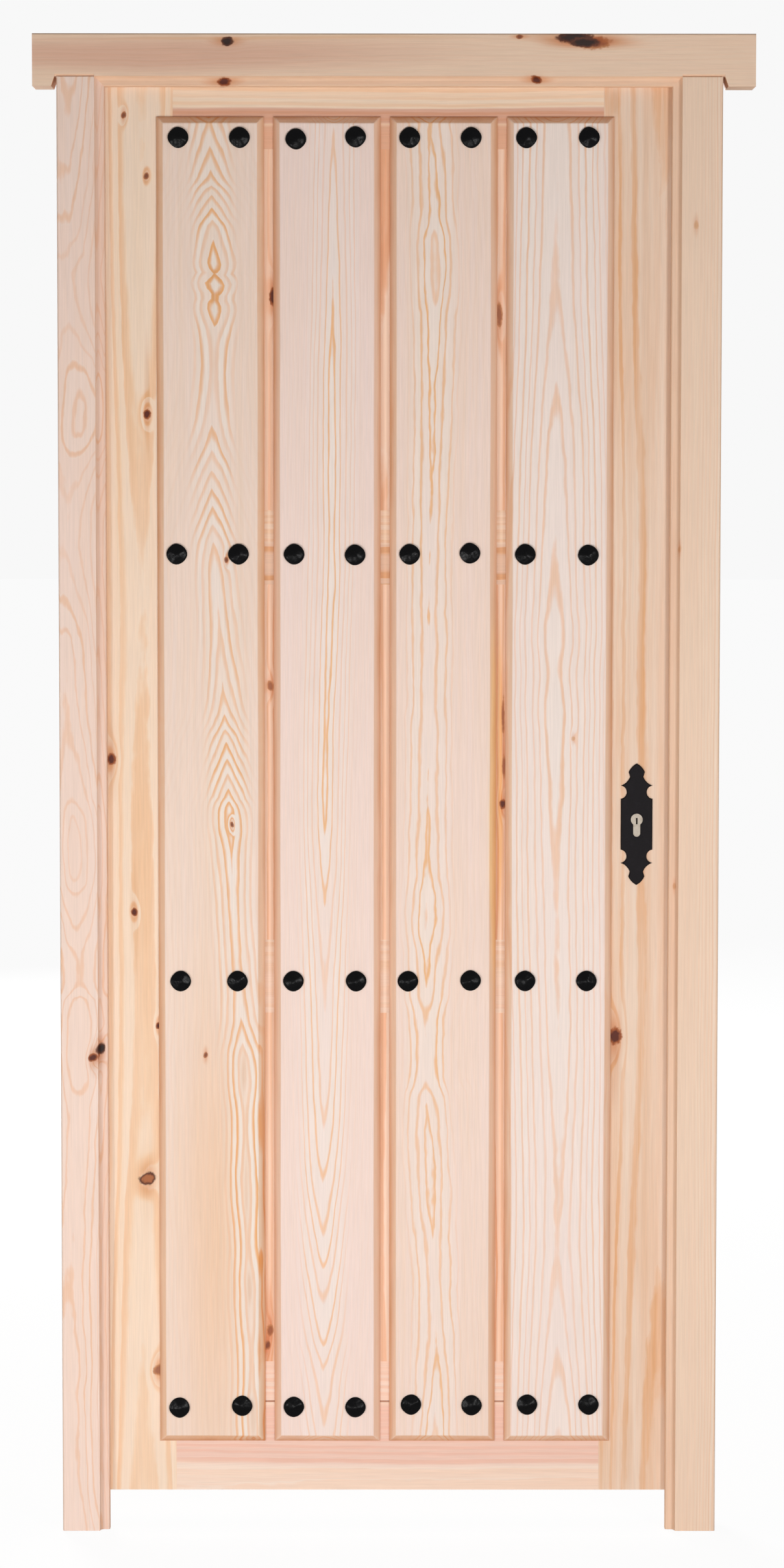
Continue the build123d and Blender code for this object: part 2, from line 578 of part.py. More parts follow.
def make_plug(start, direction):
    """A plug with its keyway, from the cylinder's end to the cam."""
    outer, _ = cylinder_ends()
    length = LEAF_MIDDLE - CAM_WIDTH / 2 - outer
    plug = rod((LOCK_X, start, LOCK_Z), (0, direction, 0), PLUG_DIAMETER / 2, length)
    deep = start + direction * KEYWAY_DEPTH
    low = LOCK_Z - PLUG_DIAMETER / 2
    return plug - block(LOCK_X - KEYWAY_WIDTH / 2, LOCK_X + KEYWAY_WIDTH / 2,
                        min(start, deep), max(start, deep), low, low + KEYWAY_HEIGHT)


def make_cam():
    """The cam between the plugs, its lobe pointing down and back at rest."""
    y0, y1 = LEAF_MIDDLE - CAM_WIDTH / 2, LEAF_MIDDLE + CAM_WIDTH / 2
    hub = rod((LOCK_X, y0, LOCK_Z), (0, 1, 0), CYLINDER_HEAD_RADIUS - CYLINDER_HOLE_CLEARANCE, y1 - y0)
    lobe = block(-CAM_LOBE_WIDTH / 2, CAM_LOBE_WIDTH / 2, y0, y1, -CAM_REACH, 0)
    disc = rod((0, y0, 0), (0, 1, 0), CAM_REACH, y1 - y0)
    return hub + Pos(LOCK_X, 0, LOCK_Z) * Rot(0, CAM_REST_ANGLE, 0) * (lobe & disc)


def case_block(inset=0.0):
    """The lock case's outer block, or its inner space when inset by the wall."""
    half = CASE_THICKNESS / 2 - inset
    return block(CASE_BACK + inset, CASE_FRONT - inset, LEAF_MIDDLE - half, LEAF_MIDDLE + half,
                 CASE_BOTTOM + inset, CASE_BOTTOM + CASE_HEIGHT - inset)


def bolt_window(clearance):
    """The way of the deadbolt's head, from inside the case to the far end of its pocket."""
    half_h, half_t = BOLT_HEIGHT / 2 + clearance, BOLT_THICKNESS / 2 + clearance
    return block(CASE_FRONT - BOLT_HEAD_LENGTH, JAMB_WALL + POCKET_DEPTH, LEAF_MIDDLE - half_t,
                 LEAF_MIDDLE + half_t, BOLT_Z - half_h, BOLT_Z + half_h)


def guide_stud_x():
    """Where the stud that guides the bolt's tail stands."""
    return FOREND_FRONT - BOLT_HEAD_LENGTH - GUIDE_STUD_BEHIND_HEAD


def make_lock_case():
    """The case's tray with the guide stud, open towards the inside for its cover."""
    tray = case_block() - case_block(CASE_WALL)
    cover_face = LEAF_MIDDLE + CASE_THICKNESS / 2 - CASE_WALL
    tray -= block(CASE_BACK, CASE_FRONT, cover_face, cover_face + CASE_WALL,
                  CASE_BOTTOM, CASE_BOTTOM + CASE_HEIGHT)
    floor = LEAF_MIDDLE - CASE_THICKNESS / 2 + CASE_WALL
    tray += rod((guide_stud_x(), floor, BOLT_Z), (0, 1, 0), GUIDE_STUD_DIAMETER / 2, cover_face - floor)
    tray -= bolt_window(BOLT_GUIDE_GAP)
    tray -= cylinder_screw(SCREW_CLEARANCE)
    tray -= plate_screw(PLATE_Z + PLATE_SCREW_AT, THROUGH_HOLE_CLEARANCE)
    return tray - cylinder_prism(floor - CASE_THICKNESS, cover_face, CYLINDER_HOLE_CLEARANCE)


def make_lock_cover():
    """The flat cover of the case."""
    back = LEAF_MIDDLE + CASE_THICKNESS / 2
    cover = block(CASE_BACK, CASE_FRONT, back - CASE_WALL, back, CASE_BOTTOM, CASE_BOTTOM + CASE_HEIGHT)
    cover -= plate_screw(PLATE_Z + PLATE_SCREW_AT, THROUGH_HOLE_CLEARANCE)
    return cover - cylinder_prism(back - CASE_THICKNESS / 2, back + CASE_WALL, CYLINDER_HOLE_CLEARANCE)


def forend_block(clearance=0.0):
    """The forend's plate with round ends, or its recess."""
    middle = CASE_BOTTOM + CASE_HEIGHT / 2
    plane = Plane(origin=(FOREND_FRONT, LEAF_MIDDLE, middle), x_dir=(0, 0, 1), z_dir=(-1, 0, 0))
    plate = SlotOverall(FOREND_HEIGHT + 2 * clearance, FOREND_WIDTH + 2 * clearance)
    return extrude(plane * plate, FOREND_THICKNESS)


def forend_screw_places():
    """Heights of the forend's two screws."""
    middle = CASE_BOTTOM + CASE_HEIGHT / 2
    reach = FOREND_HEIGHT / 2 - FOREND_WIDTH / 2
    return [middle - reach, middle + reach]


def make_forend():
    """The forend with its bolt window and its screw holes."""
    forend = forend_block() - bolt_window(BOLT_GUIDE_GAP) - cylinder_screw(SCREW_CLEARANCE)
    for z in forend_screw_places():
        forend -= make_screw((FOREND_FRONT, LEAF_MIDDLE, z), (-1, 0, 0), clearance=SCREW_CLEARANCE)
    return forend


def make_deadbolt():
    """The bolt, drawn back flush with the forend, with a slotted tail over the guide stud."""
    head = block(FOREND_FRONT - BOLT_HEAD_LENGTH, FOREND_FRONT, LEAF_MIDDLE - BOLT_THICKNESS / 2,
                 LEAF_MIDDLE + BOLT_THICKNESS / 2, BOLT_Z - BOLT_HEIGHT / 2, BOLT_Z + BOLT_HEIGHT / 2)
    head = fillet(head.faces().sort_by(Axis.X)[-1].edges().filter_by(Axis.Z), BOLT_ARRIS)
    tail_back = FOREND_FRONT - BOLT_HEAD_LENGTH - BOLT_TAIL_LENGTH
    half_tail = BOLT_HEIGHT / 2 - BOLT_TAIL_STEP
    tail = block(tail_back, FOREND_FRONT - BOLT_HEAD_LENGTH, LEAF_MIDDLE - BOLT_TAIL_THICKNESS / 2,
                 LEAF_MIDDLE + BOLT_TAIL_THICKNESS / 2, BOLT_Z - half_tail, BOLT_Z + half_tail)
    slot_width = GUIDE_STUD_DIAMETER + 2 * BOLT_GUIDE_GAP
    slot_start = (guide_stud_x() - BOLT_THROW / 2, LEAF_MIDDLE - BOLT_TAIL_THICKNESS / 2, BOLT_Z)
    plane = Plane(origin=slot_start, x_dir=(1, 0, 0), z_dir=(0, 1, 0))
    slot = extrude(plane * SlotOverall(BOLT_THROW + slot_width, slot_width), BOLT_TAIL_THICKNESS)
    return head + tail - slot


def strike_block(clearance=0.0):
    """The strike plate with round ends, or its recess in the jamb."""
    plane = Plane(origin=(JAMB_WALL, LEAF_MIDDLE, BOLT_Z), x_dir=(0, 0, 1), z_dir=(1, 0, 0))
    plate = SlotOverall(STRIKE_HEIGHT + 2 * clearance, STRIKE_WIDTH + 2 * clearance)
    return extrude(plane * plate, STRIKE_THICKNESS)


def strike_screw_places():
    """Heights of the strike plate's two screws."""
    reach = STRIKE_HEIGHT / 2 - STRIKE_WIDTH / 2
    return [BOLT_Z - reach, BOLT_Z + reach]


def make_strike():
    """The strike plate with its window for the bolt."""
    strike = strike_block() - bolt_window(STRIKE_HOLE_MARGIN)
    for z in strike_screw_places():
        strike -= make_screw((JAMB_WALL, LEAF_MIDDLE, z), (1, 0, 0), clearance=SCREW_CLEARANCE)
    return strike


# Escutcheon plates

def plate_outline():
    """The plate's cut outline: pointed heads, sloping shoulders and a round notch at each corner."""
    tip_side = (PLATE_TIP_FULLNESS * PLATE_HEAD_HALF_WIDTH,
                (PLATE_HALF_HEIGHT + PLATE_HEAD_AT) / 2 + PLATE_TIP_BULGE)
    shoulder = ((PLATE_NECK_HALF_WIDTH + PLATE_HALF_WIDTH) / 2 - PLATE_SHOULDER_SAG,
                (PLATE_NECK_AT + PLATE_SHOULDER_AT) / 2 - PLATE_SHOULDER_SAG)
    head, neck = (PLATE_HEAD_HALF_WIDTH, PLATE_HEAD_AT), (PLATE_NECK_HALF_WIDTH, PLATE_NECK_AT)
    shoulder_end = (PLATE_HALF_WIDTH, PLATE_SHOULDER_AT)
    notch = (PLATE_NOTCH_HALF_WIDTH, (PLATE_SHOULDER_AT + PLATE_NOTCH_END) / 2)
    quarter = [
        ThreePointArc((0, PLATE_HALF_HEIGHT), tip_side, head),
        Line(head, neck),
        ThreePointArc(neck, shoulder, shoulder_end),
        ThreePointArc(shoulder_end, notch, (PLATE_HALF_WIDTH, PLATE_NOTCH_END)),
        Polyline((PLATE_HALF_WIDTH, PLATE_NOTCH_END), (PLATE_HALF_WIDTH, 0), (0, 0), (0, PLATE_HALF_HEIGHT)),
    ]
    corner = make_face(quarter)
    half = corner + mirror(corner, about=Plane.YZ)
    return half + mirror(half, about=Plane.XZ)


def make_plate(face_y, outward):
    """A bevelled plate standing on the leaf; outward is -1 outside and 1 inside."""
    plane = Plane(origin=(LOCK_X, face_y, PLATE_Z), x_dir=(-outward, 0, 0), z_dir=(0, outward, 0))
    plate = extrude(plane * plate_outline(), PLATE_THICKNESS)
    front = plate.faces().sort_by(Axis.Y)[-1 if outward > 0 else 0]
    plate = chamfer(front.edges(), PLATE_BEVEL)
    far = face_y + outward * 2 * PLATE_THICKNESS
    return plate - cylinder_prism(min(face_y, far), max(face_y, far), CYLINDER_HOLE_CLEARANCE)


def plate_screw(z, clearance=0.0):
    """A screw from the inner plate's face into a post of the outer plate."""
    seat = LEAF_BACK + PLATE_THICKNESS
    length = seat - LEAF_FRONT - PLATE_SCREW_STOPS_SHORT
    return make_screw((LOCK_X, seat, z), (0, -1, 0), length, PLATE_SCREW_DIAMETER, clearance)


def plate_post(z, clearance=0.0):
    """A post on the back of the outer plate, let into the leaf."""
    radius = PLATE_POST_DIAMETER / 2 + clearance
    return rod((LOCK_X, LEAF_FRONT, z), (0, 1, 0), radius, PLATE_POST_LENGTH + clearance)


# Assembly of the pieces

def lengths_at_pocket(jamb):
    """The jamb in three lengths, below, beside and above the bolt's pocket, so that each is a simple form."""
    pocket_half = BOLT_HEIGHT / 2 + STRIKE_HOLE_MARGIN
    lower_cut = Plane.XY.offset(BOLT_Z - pocket_half)
    upper_cut = Plane.XY.offset(BOLT_Z + pocket_half)
    beside = split(split(jamb, bisect_by=lower_cut, keep=Keep.TOP), bisect_by=upper_cut, keep=Keep.BOTTOM)
    return [split(jamb, bisect_by=lower_cut, keep=Keep.BOTTOM), beside,
            split(jamb, bisect_by=upper_cut, keep=Keep.TOP)]


def add_frame():
    """The jambs and the header, cut for the hinges and the strike."""
    lock_jamb = right_jamb(LOCK_JAMB_WIDTH) - strike_block(JOINT_CLEARANCE)
    lock_jamb -= bolt_window(STRIKE_HOLE_MARGIN)
    for z in strike_screw_places():
        lock_jamb -= make_screw((JAMB_WALL, LEAF_MIDDLE, z), (1, 0, 0), clearance=SCREW_CLEARANCE)
    hinge_jamb = mirror(right_jamb(HINGE_JAMB_WIDTH), about=Plane.YZ)
    for centre in HINGE_CENTRES.values():
        hinge_jamb -= hinge_plate_block(-1, centre, JOINT_CLEARANCE)
        for y, z in hinge_screw_places(centre):
            hinge_jamb -= make_screw((-JAMB_WALL, y, z), (-1, 0, 0), clearance=SCREW_CLEARANCE)
    pieces["hinge_jamb"] = hinge_jamb
    pieces["lock_jamb"] = lengths_at_pocket(lock_jamb)
    pieces["header"] = make_header()


def add_leaf_frame():
    """The stiles and cross pieces of the leaf."""
    hinge_stile = make_stile(-1)
    for centre in HINGE_CENTRES.values():
        hinge_stile -= hinge_plate_block(1, centre, JOINT_CLEARANCE)
        for y, z in hinge_screw_places(centre):
            hinge_stile -= make_screw((-HALF_LEAF, y, z), (1, 0, 0), clearance=SCREW_CLEARANCE)
    lock_stile = make_stile(1) - forend_block(JOINT_CLEARANCE)
    pocket_half = CASE_THICKNESS / 2 + JOINT_CLEARANCE
    lock_stile -= block(CASE_BACK - JOINT_CLEARANCE, CASE_FRONT, LEAF_MIDDLE - pocket_half,
                        LEAF_MIDDLE + pocket_half, CASE_BOTTOM - JOINT_CLEARANCE,
                        CASE_BOTTOM + CASE_HEIGHT + JOINT_CLEARANCE)
    lock_stile -= cylinder_prism(LEAF_FRONT, LEAF_BACK, CYLINDER_HOLE_CLEARANCE)
    for z in forend_screw_places():
        lock_stile -= make_screw((FOREND_FRONT, LEAF_MIDDLE, z), (-1, 0, 0), clearance=SCREW_CLEARANCE)
    for z in (PLATE_Z - PLATE_SCREW_AT, PLATE_Z + PLATE_SCREW_AT):
        lock_stile -= plate_post(z, SCREW_CLEARANCE)
        lock_stile -= plate_screw(z, SCREW_CLEARANCE)
    pieces["hinge_stile"] = drill_for_nails(hinge_stile)
    pieces["lock_stile"] = drill_for_nails(lock_stile)
    for name, lower, height, below, above in CROSS_PIECES:
        pieces[name] = drill_for_nails(make_cross_piece(lower, height, below, above))


def add_boards():
    """The infill boards of the three bays."""
    for name, (low, high) in zip(BAY_NAMES, bays()):
        for index in range(BOARD_COUNT):
            pieces[f"{name}_board_{index + 1}"] = drill_for_nails(make_board(index, low, high))


def add_planks():
    """The bevelled planks and their nails."""
    for index in range(PLANK_COUNT):
        pieces[f"plank_{index + 1}"] = drill_for_nails(make_plank(index))
        pieces[f"plank_{index + 1}_nails"] = make_nails(index)


def add_hinges():
    """The three butt hinges with their pins and screws."""
    for name, centre in HINGE_CENTRES.items():
        pieces[f"{name}_hinge_jamb_plate"] = make_hinge_half(-1, centre)
        pieces[f"{name}_hinge_leaf_plate"] = make_hinge_half(1, centre)
        pieces[f"{name}_hinge_pin"] = make_hinge_pin(centre)
    pieces["hinge_jamb_screws"] = make_hinge_screws(-1)
    pieces["hinge_leaf_screws"] = make_hinge_screws(1)


def add_lock():
    """The deadlock, its strike and the profile cylinder."""
    outer, inner = cylinder_ends()
    pieces["lock_case"] = make_lock_case()
    pieces["lock_cover"] = make_lock_cover()
    pieces["lock_forend"] = make_forend()
    pieces["forend_screws"] = [make_screw((FOREND_FRONT, LEAF_MIDDLE, z), (-1, 0, 0))
                               for z in forend_screw_places()]
    pieces["deadbolt"] = make_deadbolt()
    pieces["strike_plate"] = make_strike()
    pieces["strike_screws"] = [make_screw((JAMB_WALL, LEAF_MIDDLE, z), (1, 0, 0))
                               for z in strike_screw_places()]
    pieces["cylinder_body"] = make_cylinder_body()
    pieces["cylinder_screw"] = cylinder_screw()
    pieces["outer_plug"] = make_plug(outer, 1)
    pieces["inner_plug"] = make_plug(inner, -1)
    pieces["cylinder_cam"] = make_cam()


def add_plates():
    """The plates on both sides of the lock, and the screws that draw them together."""
    heights = (PLATE_Z - PLATE_SCREW_AT, PLATE_Z + PLATE_SCREW_AT)
    outer_plate = make_plate(LEAF_FRONT, -1)
    inner_plate = make_plate(LEAF_BACK, 1)
    for z in heights:
        outer_plate += plate_post(z)
        outer_plate -= plate_screw(z, SCREW_CLEARANCE)
        inner_plate -= plate_screw(z, SCREW_CLEARANCE)
    pieces["outer_escutcheon"] = outer_plate
    pieces["inner_escutcheon"] = inner_plate
    pieces["escutcheon_screws"] = [plate_screw(z) for z in heights]


def write_pieces():
    """Write each piece to its own STEP file; a list is a group of separate solids."""
    os.makedirs("parts", exist_ok=True)
    for name, piece in pieces.items():
        shape = Compound(piece) if isinstance(piece, list) else piece
        export_step(shape, f"parts/{name}.step")


add_frame()
add_leaf_frame()
add_boards()
add_planks()
add_hinges()
add_lock()
add_plates()
write_pieces()
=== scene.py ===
"""The looks of a front door of bevelled pine planks in its moulded pine frame.

Lengths in the dataclasses are millimetres unless a name says otherwise; meshes and cameras are in metres.
Across is the direction over a board's face, along is the direction that its grain runs in.
"""
import logging
import math
from dataclasses import dataclass, field, replace
from enum import Enum
from typing import Any

import bpy
import numpy as np
from mathutils import Euler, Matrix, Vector


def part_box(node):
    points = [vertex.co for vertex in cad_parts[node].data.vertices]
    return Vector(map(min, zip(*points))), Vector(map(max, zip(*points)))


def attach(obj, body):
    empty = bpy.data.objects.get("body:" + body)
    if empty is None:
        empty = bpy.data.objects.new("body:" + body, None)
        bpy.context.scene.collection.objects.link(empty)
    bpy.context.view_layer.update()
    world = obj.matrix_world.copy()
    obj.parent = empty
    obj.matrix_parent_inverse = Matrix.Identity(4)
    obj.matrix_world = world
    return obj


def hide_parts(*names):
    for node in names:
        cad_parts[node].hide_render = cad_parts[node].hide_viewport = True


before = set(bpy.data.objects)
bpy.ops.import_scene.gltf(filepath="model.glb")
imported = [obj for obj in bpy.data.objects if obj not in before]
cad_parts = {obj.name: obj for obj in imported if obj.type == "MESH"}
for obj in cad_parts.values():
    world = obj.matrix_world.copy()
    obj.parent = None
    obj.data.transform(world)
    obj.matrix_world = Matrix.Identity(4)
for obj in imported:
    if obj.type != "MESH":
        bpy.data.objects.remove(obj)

logging.basicConfig(level=logging.INFO, format="%(message)s")
log = logging.getLogger("front door")
MM = 0.001
Socket = bpy.types.NodeSocket
Material = bpy.types.Material
Pairs = tuple[tuple[float, float], ...]
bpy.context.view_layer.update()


def linear(code: str) -> tuple[float, float, float, float]:
    """Turn an sRGB hex colour to Blender's linear one.

    Args:
        code: Colour such as "#e8d5c0".

    Returns:
        Red, green, blue and alpha, linear, 0 to 1.
    """
    parts = [int(code[i:i + 2], 16) / 255 for i in (1, 3, 5)]
    return tuple(p / 12.92 if p <= 0.04045 else ((p + 0.055) / 1.055) ** 2.4 for p in parts) + (1.0,)


class Nodes:
    """The nodes of one material or of the world."""

    def __init__(self, owner: Any) -> None:
        """Start on the nodes of a new material or world."""
        owner.use_nodes = True
        self.tree = owner.node_tree

    def feed(self, node: str, feeds: dict[int | str, Any]) -> None:
        """Link or set a node's inputs.

        Args:
            node: The node's name.
            feeds: What goes into its inputs: another node's output, or a plain value.
        """
        inputs = self.tree.nodes[node].inputs
        for name, value in feeds.items():
            if isinstance(value, Socket):
                self.tree.links.new(value, inputs[name])
            else:
                inputs[name].default_value = value

    def add(self, kind: str, feeds: dict[int | str, Any] | None = None, out: int | str = 0, **settings: Any) -> Socket:
        """Add one node with its settings and links.

        Args:
            kind: Blender's name of the node, without "ShaderNode" in front.
            feeds: What goes into its inputs.
            out: Which of its outputs is handed back.
            **settings: The node's own properties.

        Returns:
            The chosen output socket.
        """
        made = self.tree.nodes.new("ShaderNode" + kind)
        for name, value in settings.items():
            setattr(made, name, value)
        self.feed(made.name, feeds or {})
        return made.outputs[out]

    def calc(self, operation: str, *values: Any) -> Socket:
        """Add a Math node that takes the values in order."""
        return self.add("Math", dict(enumerate(values)), operation=operation)

    def span(self, value: Socket, low: float, high: float, at_low: float = 0.0, at_high: float = 1.0,
             shape: str = "LINEAR") -> Socket:
        """Add a Map Range node, which turns low..high to at_low..at_high and stays level outside."""
        return self.add("MapRange", dict(enumerate((value, low, high, at_low, at_high))), interpolation_type=shape)

    def tint(self, share: Any, below: Any, above: Any, blend: str = "MIX") -> Socket:
        """Lay one colour over another, each a socket or an sRGB hex code."""
        below, above = (linear(colour) if isinstance(colour, str) else colour for colour in (below, above))
        return self.add("Mix", {0: share, 6: below, 7: above}, out=2, data_type="RGBA", blend_type=blend)

    def split(self, vector: Socket) -> tuple[Socket, ...]:
        """Split a vector to its three parts."""
        return tuple(self.add("SeparateXYZ", {0: vector}).node.outputs)

    def curve(self, where: Socket, points: Pairs, top: float) -> Socket | float:
        """Read a value off a smooth curve through measured places along a board.

        Args:
            where: Place along the board.
            points: Pairs of place along and value there, in rising order.
            top: Largest value that the curve may reach.

        Returns:
            The value at that place, or the one value that a single point gives.
        """
        if len(points) == 1:
            return points[0][1]
        low, high = points[0][0], points[-1][0]
        read = self.add("FloatCurve", {1: self.span(where, low, high)})
        mapping = read.node.mapping
        dots = mapping.curves[0].points
        for place, value in points[1:-1]:
            dots.new((place - low) / (high - low), value / top)
        dots[0].location = (0, points[0][1] / top)
        dots[-1].location = (1, points[-1][1] / top)
        mapping.update()
        return self.calc("MULTIPLY", read, top)


class Grain(Enum):
    """Direction that a board's grain runs in."""

    UPRIGHT = "upright"
    LEVEL = "level"


class KnotLook(Enum):
    """How a knot has grown: its middle, its rim, and how far it shows."""

    PIN = ("#6e3018", "#b0663a", 0.9)
    TIGHT = ("#8e4a2a", "#b87444", 0.85)
    DARK = ("#54200f", "#a0552a", 1.0)
    BARK = ("#26120c", "#5a3020", 1.0)
    FAINT = ("#cf9464", "#dda880", 0.6)
    RINGED = ("#a8643c", "#4a1e10", 1.0)
    GROWN_OVER = ("#e2b48a", "#e8c4a0", 0.0)


@dataclass(frozen=True)
class Knot:
    """A knot in a board, with the grain bending round it.

    Attributes:
        across, along: Its centre on the face.
        width, height: Its size across and along the grain.
        look: How it has grown.
        swell: Year rings by which the grain bends round it.
    """

    across: float
    along: float
    width: float
    height: float
    look: KnotLook = KnotLook.TIGHT
    swell: float = 1.0


@dataclass(frozen=True)
class StainOrShade:
    """A soft-edged patch of other colour: a resin streak, a heartwood band, a flame over a knot, or a strip of painted
    shade beside a plank or the frame.

    Attributes:
        across, along: Its centre on the face.
        half_across, half_along: Its half sizes.
        colour: sRGB hex colour that it shades to.
        strength: Share of that colour in its middle.
        soft: Share of its half size over which it fades.
        ruled: Whether its edges keep straight, as those of a joint or of the painted shade beside a plank do.
    """

    across: float
    along: float
    half_across: float
    half_along: float
    colour: str
    strength: float = 0.5
    soft: float = 0.7
    ruled: bool = False


@dataclass(frozen=True)
class Pine:
    """Scots pine, sawn, planed and sanded: pale early wood with fine orange late-wood lines and a dull silky face.

    The lines are where the face cuts the tree's year rings, which are cones round the pith. The ring number at a
    point is its distance from the pith divided by the ring spacing, so arches stand on the face where the pith
    comes nearer or goes away, and straight lines where it runs level with the face.

    Attributes:
        name: Material's name.
        grain: Direction of the grain.
        seed: Shifts all noise, so that no two boards are alike.
        early, late, heart: sRGB hex colours of early wood, late wood and the warmer heartwood.
        spacing: Width of a year ring.
        face: Depth of the board's face.
        pith: Places along the board and where the pith lies across it.
        rings: Places along the board and how many rings the pith lies behind its face.
        peak: Shape of the arches, from 2 for round ones to 1 for pointed ones.
        waviness: Share of a ring by which the lines waver.
        uneven: Share of a ring by which wide and narrow years alternate.
        onset: Share of a ring that is plain early wood, so that a high one makes thin lines.
        contrast: How strongly the late wood shows.
        bleached: How far the early wood beside the lines is paler than the rest.
        reach: Distance from the pith's line past which the lines grow faint.
        warmth: How far the heartwood's colour shows in slow bands.
        soak_and_shade: How far moulded sides and bevels are browner than the face, partly as oil soaks in and partly as
            painted shade, and how far what lies deep behind the face is darkened by painted shade.
        knots, stains_and_shades: What grew in it, and strips of painted shade laid on it.
    """

    name: str
    grain: Grain
    seed: float
    early: str
    late: str
    heart: str
    spacing: float
    face: float
    pith: Pairs
    rings: Pairs
    peak: float = 2.0
    waviness: float = 0.35
    uneven: float = 0.1
    onset: float = 0.38
    contrast: float = 0.6
    bleached: float = 0.3
    reach: float = 120.0
    warmth: float = 0.35
    soak_and_shade: float = 0.85
    knots: tuple[Knot, ...] = ()
    stains_and_shades: tuple[StainOrShade, ...] = ()

    def material(self) -> Material:
        """Build the board's material, one for this board alone.

        Returns:
            The material.
        """
        made = bpy.data.materials.new(self.name)
        Board(self, made).lay()
        return made


